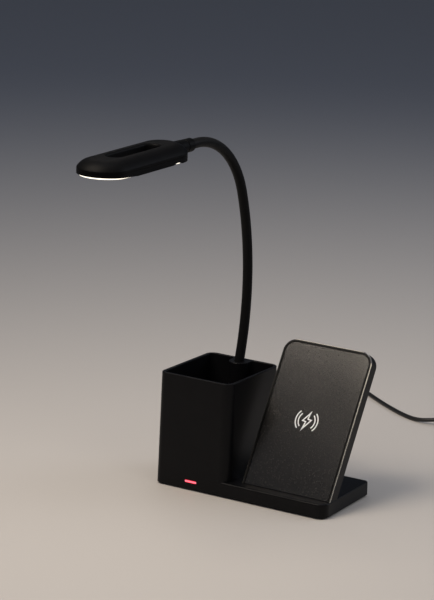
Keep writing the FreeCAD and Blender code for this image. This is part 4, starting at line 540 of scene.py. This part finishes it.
# Indicator
# A slim red acrylic light window, low on the cup's front, lit from behind by a small lamp on the board.
# The lamp shines through the middle, so a paler core runs along it and the red deepens at its edges.
INDICATOR_RED, INDICATOR_GLOW = "#d21f3c", "#ff2e4c"
INDICATOR_CORE = "#ff97a8"
INDICATOR_STRENGTH = 0.85
INDICATOR_AXIS_MM, INDICATOR_CORE_MM, INDICATOR_EDGE_MM = 7.4, 0.25, 0.85

# Cast red acrylic: clear and glossy, with a faint haze.
red_acrylic, tree, where = start_material("lit_red_acrylic")
haze = add_node(tree, "TexNoise", {"Vector": where, "Scale": 1 / (1.5 * MM), "Detail": 2.0})
tint = add_node(tree, "Mix", {0: haze, 6: linear("#b5152f"), 7: linear(INDICATOR_RED)}, 2, data_type="RGBA")
height = add_node(tree, "SeparateXYZ", {0: where}, "Z")
above = add_node(tree, "Math", {0: height, 1: INDICATOR_AXIS_MM * MM}, operation="SUBTRACT")
off_axis = add_node(tree, "Math", {0: above}, operation="ABSOLUTE")
edge = add_node(tree, "MapRange", {0: off_axis, 1: INDICATOR_CORE_MM * MM, 2: INDICATOR_EDGE_MM * MM})
glow = add_node(tree, "Mix", {0: edge, 6: linear(INDICATOR_CORE), 7: linear(INDICATOR_GLOW)}, 2,
                data_type="RGBA")
shader = add_node(tree, "BsdfPrincipled",
                  {"Base Color": tint, "Roughness": 0.22, "IOR": 1.49, "Transmission Weight": 0.2,
                   "Emission Color": glow, "Emission Strength": INDICATOR_STRENGTH})
add_node(tree, "OutputMaterial", {"Surface": shader})
stand_in("indicator_window", "indicator_light", red_acrylic, "base")


# Charging panel
# A flat black case leaned back by 29.7 degrees on the base. A bevelled rim, painted pale as a highlight, and
# a dark groove frame its face, a sheet with a fine mica grain and a screen-printed charging sign: a bolt
# between pairs of arcs.
PANEL_FOOT_MM = (36.65, -28.8, 12.3)
PANEL_TILT = np.radians(60.3)
PANEL_BEVEL_MM, BEVEL_SLACK_MM = 0.6, 0.02
BEVEL_LEAN = (0.3, 0.95)
FACE_SETBACK_MM = 0.25
SIGN_CENTRE_MM = (-0.78, 58.64)
SIGN_LINE_MM = 1.0
SIGN_THICKNESS_MM = 0.06
ARC_RADII_MM = (7.2, 9.7)
ARC_HALF_ANGLE, ARC_POINTS = np.radians(45.5), 33
BOLT_MM = [(1.6, 6.5), (-3.5, -0.3), (-0.65, -0.75), (-2.0, -6.55), (3.85, 1.05), (0.7, 1.5)]
SPARKLE_MM = 0.6
SPARKLE_FROM, SPARKLE_FULL = 0.86, 0.97
FACE_GLOSS = 0.7

up_slope = np.array([0.0, np.cos(PANEL_TILT), np.sin(PANEL_TILT)])
out_of_face = np.array([0.0, -np.sin(PANEL_TILT), np.cos(PANEL_TILT)])


def on_panel(u, v, w):
    """Point u across, v up the slope and w out of the panel's front, from the middle of its foot, in mm."""
    return (np.array(PANEL_FOOT_MM) + np.multiply.outer(u, (1.0, 0, 0)) + np.multiply.outer(v, up_slope)
            + np.multiply.outer(w, out_of_face))


def line_strip(points, closed):
    """Two sides of a line of constant width, mitred: each point moved along its corner's bisector."""
    before, after = np.roll(points, 1, 0), np.roll(points, -1, 0)
    if not closed:
        before[0] = points[0] * 2 - points[1]
        after[-1] = points[-1] * 2 - points[-2]
    way_in = (points - before) / np.linalg.norm(points - before, axis=1, keepdims=True)
    way_out = (after - points) / np.linalg.norm(after - points, axis=1, keepdims=True)
    normal_in = np.stack([-way_in[:, 1], way_in[:, 0]], 1)
    normal_out = np.stack([-way_out[:, 1], way_out[:, 0]], 1)
    bisector = normal_in + normal_out
    bisector /= np.linalg.norm(bisector, axis=1, keepdims=True)
    reach = SIGN_LINE_MM / 2 / (bisector * normal_in).sum(1, keepdims=True)
    return points + bisector * reach, points - bisector * reach


def add_band(points, faces, closed, outline_mm):
    """Adds a flat printed band, a sheet of quads SIGN_THICKNESS_MM thick, along an outline."""
    left, right = line_strip(outline_mm, closed)
    n = len(left)
    start = sum(len(p) for p in points)
    low, high = -FACE_SETBACK_MM, -FACE_SETBACK_MM + SIGN_THICKNESS_MM
    for side, w in ((left, high), (right, high), (right, low), (left, low)):
        u, v = (side + np.array(SIGN_CENTRE_MM)).T
        points.append(on_panel(u, v, np.full(n, w)))
    k = np.arange(n if closed else n - 1)[:, None]
    after, r = (k + 1) % n, np.arange(4)
    s = (r + 1) % 4
    quads = start + np.stack([r * n + k, s * n + k, s * n + after, r * n + after], -1)
    faces.extend(quads.reshape(-1, 4).tolist())
    if not closed:
        faces.append([start + r * n for r in range(4)])
        faces.append([start + r * n + n - 1 for r in (3, 2, 1, 0)])


sign_points, sign_faces = [], []
add_band(sign_points, sign_faces, True, np.array(BOLT_MM))
for radius in ARC_RADII_MM:
    for facing in (0.0, np.pi):
        turn = facing + np.linspace(-ARC_HALF_ANGLE, ARC_HALF_ANGLE, ARC_POINTS)
        add_band(sign_points, sign_faces, False, radius * np.stack([np.cos(turn), np.sin(turn)], 1))
sign_mesh = bpy.data.meshes.new("charging_sign")
sign_mesh.from_pydata((np.concatenate(sign_points) * MM).tolist(), [], sign_faces)
# Screen-printed white ink: a thin matt coat that lets a trace of the grain through.
white_ink, tree, where = start_material("white_screen_ink")
mesh_marks = add_node(tree, "TexNoise", {"Vector": where, "Scale": 1 / (0.6 * MM), "Detail": 2.0})
tint = add_node(tree, "Mix", {0: mesh_marks, 6: linear("#e6e6e6"), 7: linear("#f4f4f4")}, 2, data_type="RGBA")
dullness = add_node(tree, "MapRange", {0: mesh_marks, 3: 0.45, 4: 0.6})
relief = add_node(tree, "Bump", {"Height": mesh_marks, "Distance": 0.02 * MM, "Strength": 0.4})
shader = add_node(tree, "BsdfPrincipled",
                  {"Base Color": tint, "IOR": 1.5, "Roughness": dullness, "Normal": relief})
add_node(tree, "OutputMaterial", {"Surface": shader})
face_outwards(sign_mesh, sharp_degrees=30)
show("charging_sign", sign_mesh, white_ink, "base")

# The case is moulded in a flatter grain than the base, so its edges catch the light more sharply.
case_abs = moulded_plastic("semi_gloss_black_abs", ("#0b0b0c", "#111112"),
                           roughness=0.34, grain_mm=0.5, relief_mm=0.02)
# The bevel is painted pale and almost metallic, a painted highlight that shows as a thin pale line. Its
# colour and roughness are mottled at random in 0.4 mm spots.
painted_highlight_bevel, tree, where = start_material("bevel_with_painted_highlight")
highlight_mottle = add_node(tree, "TexNoise", {"Vector": where, "Scale": 1 / (0.4 * MM), "Detail": 2.0})
tint = add_node(tree, "Mix", {0: highlight_mottle, 6: linear("#c4c0b6"), 7: linear("#dcd8ce")}, 2,
                data_type="RGBA")
dullness = add_node(tree, "MapRange", {0: highlight_mottle, 3: 0.18, 4: 0.28})
shader = add_node(tree, "BsdfPrincipled", {"Base Color": tint, "Metallic": 0.9, "Roughness": dullness})
add_node(tree, "OutputMaterial", {"Surface": shader})
case = stand_in("panel_case", "panel_case_moulding", case_abs, "base")
# The bevel's faces take the pale painted highlight.
case.data.materials.append(painted_highlight_bevel)
normals = np.zeros(len(case.data.polygons) * 3, np.float32)
centres = np.zeros(len(case.data.polygons) * 3, np.float32)
case.data.polygons.foreach_get("normal", normals)
case.data.polygons.foreach_get("center", centres)
leaning = normals.reshape(-1, 3) @ out_of_face
depth_mm = (centres.reshape(-1, 3) / MM - np.array(PANEL_FOOT_MM)) @ out_of_face
slanted = (leaning > BEVEL_LEAN[0]) & (leaning < BEVEL_LEAN[1])
bevelled = slanted & (depth_mm > -PANEL_BEVEL_MM - BEVEL_SLACK_MM)
case.data.polygons.foreach_set("material_index", bevelled.astype(np.int32))

# Hard-coated polycarbonate sheet, near black and semi-gloss, with a few paler mica flakes. Real flakes are
# finer; cells of 0.6 mm are drawn so that they show.
flaked_sheet, tree, where = start_material("mica_grained_polycarbonate")
flakes = add_node(tree, "TexVoronoi", {"Vector": where, "Scale": 1 / (SPARKLE_MM * MM)}, "Color",
                  feature="F1")
flake = add_node(tree, "SeparateColor", {0: flakes})
body = add_node(tree, "Mix", {0: flake, 6: linear("#080808"), 7: linear("#100f0f")}, 2, data_type="RGBA")
bright = add_node(tree, "MapRange", {0: flake, 1: SPARKLE_FROM, 2: SPARKLE_FULL})
tint = add_node(tree, "Mix", {0: bright, 6: body, 7: linear("#34312e")}, 2, data_type="RGBA")
dullness = add_node(tree, "MapRange", {0: flake, 3: 0.22, 4: 0.17})
fine = add_node(tree, "TexNoise", {"Vector": where, "Scale": 2 / (SPARKLE_MM * MM), "Detail": 3.0})
relief = add_node(tree, "Bump", {"Height": fine, "Distance": 0.06 * MM, "Strength": 0.6})
shader = add_node(tree, "BsdfPrincipled", {"Base Color": tint, "IOR": 1.58, "Specular IOR Level": FACE_GLOSS,
                                           "Roughness": dullness, "Normal": relief})
add_node(tree, "OutputMaterial", {"Surface": shader})
stand_in("panel_face", "panel_face_sheet", flaked_sheet, "base")


# Gooseneck
# A steel core in a matt black silicone sleeve, 7.8 mm thick. Its lengths ride on the lower, middle and upper
# bodies;
# the stretch at each of two stations between them is on no body. It rises from the boss below, and its ball
# end is in the head.
NECK_RADIUS_MM = 3.9
SILICONE_GLOSS = 0.08
NECK_FOOT_MM = (-43.95, 28.5032, 83.3)
NECK_RUNS = [(4.0, 0.0), (31.3 * np.radians(14.1), 1 / 31.3), (232.5 * np.radians(33.6), -1 / 232.5),
             (74.5 * np.radians(70.5), -1 / 74.5), (7.0, 0.0)]
NECK_STATIONS_MM = (40.0, 157.0)
BEND_REACH_MM = 9.0
NECK_SIDES = 40
NECK_STEP_MM = 1.0
NECK_SAMPLES = 4000
BALL_RINGS, POLE_SHARE = 12, 0.02

run_ends = np.cumsum([0.0] + [length for length, _ in NECK_RUNS])
NECK_LENGTH_MM = run_ends[-1]


def neck_line(distance):
    """Points and leans of the neck: the lean is the running sum of bends, the place that of directions."""
    fine_s = np.linspace(0, NECK_LENGTH_MM, NECK_SAMPLES)
    lean = sum(np.clip(fine_s - start, 0, length) * bend
               for start, (length, bend) in zip(run_ends, NECK_RUNS))
    step = fine_s[1]
    y = NECK_FOOT_MM[1] + np.concatenate([[0], np.cumsum((np.sin(lean[1:]) + np.sin(lean[:-1])) / 2 * step)])
    z = NECK_FOOT_MM[2] + np.concatenate([[0], np.cumsum((np.cos(lean[1:]) + np.cos(lean[:-1])) / 2 * step)])
    places = np.stack([np.full_like(distance, NECK_FOOT_MM[0]), np.interp(distance, fine_s, y),
                       np.interp(distance, fine_s, z)], 1)
    return places, np.interp(distance, fine_s, lean)


def neck_skin(name, start, end, ball_end):
    """Circle carried along the neck's line; a ball end adds rings of a quarter circle past the last point."""
    s = np.linspace(start, end, max(int((end - start) / NECK_STEP_MM), 2) + 1)
    places, lean = neck_line(s)
    radius = np.full(len(s), NECK_RADIUS_MM)
    if ball_end:
        turn = np.linspace(0, np.pi / 2, BALL_RINGS)[1:]
        way = np.array([0, np.sin(lean[-1]), np.cos(lean[-1])])
        places = np.concatenate([places, places[-1] + np.outer(np.sin(turn), way) * NECK_RADIUS_MM])
        lean = np.concatenate([lean, np.full(len(turn), lean[-1])])
        radius = np.concatenate([radius, NECK_RADIUS_MM * np.maximum(np.cos(turn), POLE_SHARE)])
    t = np.linspace(0, 2 * np.pi, NECK_SIDES, endpoint=False)
    aside = np.stack([0 * lean, np.cos(lean), -np.sin(lean)], 1)
    rings = (places[:, None] + radius[:, None, None] * (np.cos(t)[None, :, None] * np.array([1.0, 0, 0])
             + np.sin(t)[None, :, None] * aside[:, None]))
    return face_outwards(skin(name, rings), sharp_degrees=50)


# Moulded silicone: deep black and soft, dull with a faint bloom of dust that lifts its outline. The grain of
# its skin is drawn at 0.35 mm, coarser than it is.
silicone, tree, where = start_material("matt_black_silicone")
dust = add_node(tree, "TexNoise", {"Vector": where, "Scale": 1 / (2.2 * MM), "Detail": 4.0})
skin_grain = add_node(tree, "TexNoise", {"Vector": where, "Scale": 1 / (0.35 * MM), "Detail": 2.0})
tint = add_node(tree, "Mix", {0: dust, 6: linear("#09090a"), 7: linear("#101011")}, 2, data_type="RGBA")
dullness = add_node(tree, "MapRange", {0: dust, 3: 0.44, 4: 0.58})
relief = add_node(tree, "Bump", {"Height": skin_grain, "Distance": 0.02 * MM, "Strength": 0.5})
shader = add_node(tree, "BsdfPrincipled",
                  {"Base Color": tint, "IOR": 1.43, "Specular IOR Level": SILICONE_GLOSS, "Normal": relief,
                   "Roughness": dullness, "Sheen Weight": 0.02, "Sheen Roughness": 0.5})
add_node(tree, "OutputMaterial", {"Surface": shader})
lower_bend, upper_bend = NECK_STATIONS_MM
reach = BEND_REACH_MM
lengths = [
    ("sleeve_lower", 0.0, lower_bend - reach, False, ("neck_lower",)),
    ("sleeve_lower_bend", lower_bend - reach, lower_bend + reach, False, ("neck_lower", "neck_middle")),
    ("sleeve_middle", lower_bend + reach, upper_bend - reach, False, ("neck_middle",)),
    ("sleeve_upper_bend", upper_bend - reach, upper_bend + reach, False, ("neck_middle", "neck_upper")),
    ("sleeve_upper", upper_bend + reach, NECK_LENGTH_MM, True, ("neck_upper",)),
]
sleeves = {}
for name, start, end, ball_end, bodies in lengths:
    mesh = neck_skin(name, start, end, ball_end)
    sleeves[name] = show(name, mesh, silicone, bodies[0] if len(bodies) == 1 else None)
    if len(bodies) == 2:
        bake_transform(sleeves[name])
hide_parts("neck_sleeve_lower")
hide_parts("neck_sleeve_middle")
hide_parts("neck_sleeve_upper")


# Lamp head
# Two black ABS mouldings: a crowned shell with a long slot and a rear stub, and a thin lower frame.
# The shell's stub flows into the crown through a hollow saddle, so that corner is smoothed here.
MATT_BLACK, MATT_ROUGHNESS, MATT_GLOSS = ("#060607", "#0b0b0c"), 0.5, 0.05
HEAD_VOXEL_MM = 0.45
SADDLE_MM = (-43.95, -76.7, 280.55)
SADDLE_REACH_MM, SADDLE_STRETCH = 9.5, (1.15, 0.8, 1.0)
SADDLE_ROUNDS, SADDLE_STEP = 60, 0.6
PARTING_MM, RIM_KEPT_MM, RIM_FADE_MM = 278.4, 0.6, 1.2
LAMP_GLOW, LAMP_STRENGTH = "#fff1d6", 1.9


def saddle_smoothed(mesh):
    """Moves each point to the mean of its neighbours, again and again, by a weight that fades outwards."""
    points = np.zeros(len(mesh.vertices) * 3)
    mesh.vertices.foreach_get("co", points)
    points = points.reshape(-1, 3) / MM
    ends = np.zeros(len(mesh.edges) * 2, np.int32)
    mesh.edges.foreach_get("vertices", ends)
    a, b = ends.reshape(-1, 2).T
    neighbours = np.bincount(np.concatenate([a, b]), minlength=len(points))[:, None]
    away = np.linalg.norm((points - SADDLE_MM) / SADDLE_STRETCH, axis=1) / SADDLE_REACH_MM
    near = np.clip(1 - away ** 2, 0, 1) ** 1.5
    near *= np.clip((points[:, 2] - PARTING_MM - RIM_KEPT_MM) / RIM_FADE_MM, 0, 1)
    strength = (near * SADDLE_STEP)[:, None]
    for _ in range(SADDLE_ROUNDS):
        total = np.zeros_like(points)
        for axis in range(3):
            total[:, axis] = (np.bincount(a, points[b, axis], len(points))
                              + np.bincount(b, points[a, axis], len(points)))
        points += strength * (total / neighbours - points)
    mesh.vertices.foreach_set("co", (points * MM).ravel())
    mesh.update()


# The head is moulded from the same plastic as the base, but duller, so that it stays deep black from above.
matt_abs = moulded_plastic("matt_black_abs", MATT_BLACK, MATT_ROUGHNESS, SATIN_GRAIN_MM, SATIN_RELIEF_MM,
                           MATT_GLOSS)
shell_mesh = merged_copy("head_top_shell", sharp_degrees=180)
shell = show("head_crown_shell", shell_mesh, matt_abs, "head")
remesh = shell.modifiers.new("even_faces", "REMESH")
remesh.mode = "VOXEL"
remesh.voxel_size = HEAD_VOXEL_MM * MM
remesh.use_smooth_shade = True
bpy.context.view_layer.update()
even = bpy.data.meshes.new_from_object(shell.evaluated_get(bpy.context.evaluated_depsgraph_get()))
shell.modifiers.clear()
saddle_smoothed(even)
even.name = "head_crown_shell"
shell.data = even
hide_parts("head_top_shell")
stand_in("head_lower_frame", "head_rim_frame", matt_abs, "head")
stand_in("head_collar", "neck_collar", matt_abs, "head")

# Opal polycarbonate diffuser, lit from inside: warm white, in slow clouds where the opal is thicker.
opal, tree, where = start_material("lit_opal_polycarbonate")
milk = add_node(tree, "TexNoise", {"Vector": where, "Scale": 1 / (7.0 * MM), "Detail": 2.0})
tint = add_node(tree, "Mix", {0: milk, 6: linear("#efe9dc"), 7: linear("#f8f3ea")}, 2, data_type="RGBA")
glow = add_node(tree, "Mix", {0: milk, 6: linear(LAMP_GLOW), 7: linear("#fff8ea")}, 2, data_type="RGBA")
shader = add_node(tree, "BsdfPrincipled", {"Base Color": tint, "Roughness": 0.4, "IOR": 1.58,
                                           "Emission Color": glow, "Emission Strength": LAMP_STRENGTH})
add_node(tree, "OutputMaterial", {"Surface": shader})
stand_in("diffuser", "opal_diffuser", opal, "head")
# LED board: white solder mask on aluminium; the chips are yellow phosphor in white housings.
white_mask = moulded_plastic("white_masked_aluminium", ("#dcdcd8", "#ebebe8"),
                             roughness=0.4, grain_mm=1.5, relief_mm=0.01)
phosphor = moulded_plastic("yellow_phosphor_chip", ("#d8c24a", "#e6d466"),
                           roughness=0.45, grain_mm=0.6, relief_mm=0.02)
refinish(white_mask, "led_board")
refinish(phosphor, "led_chips")
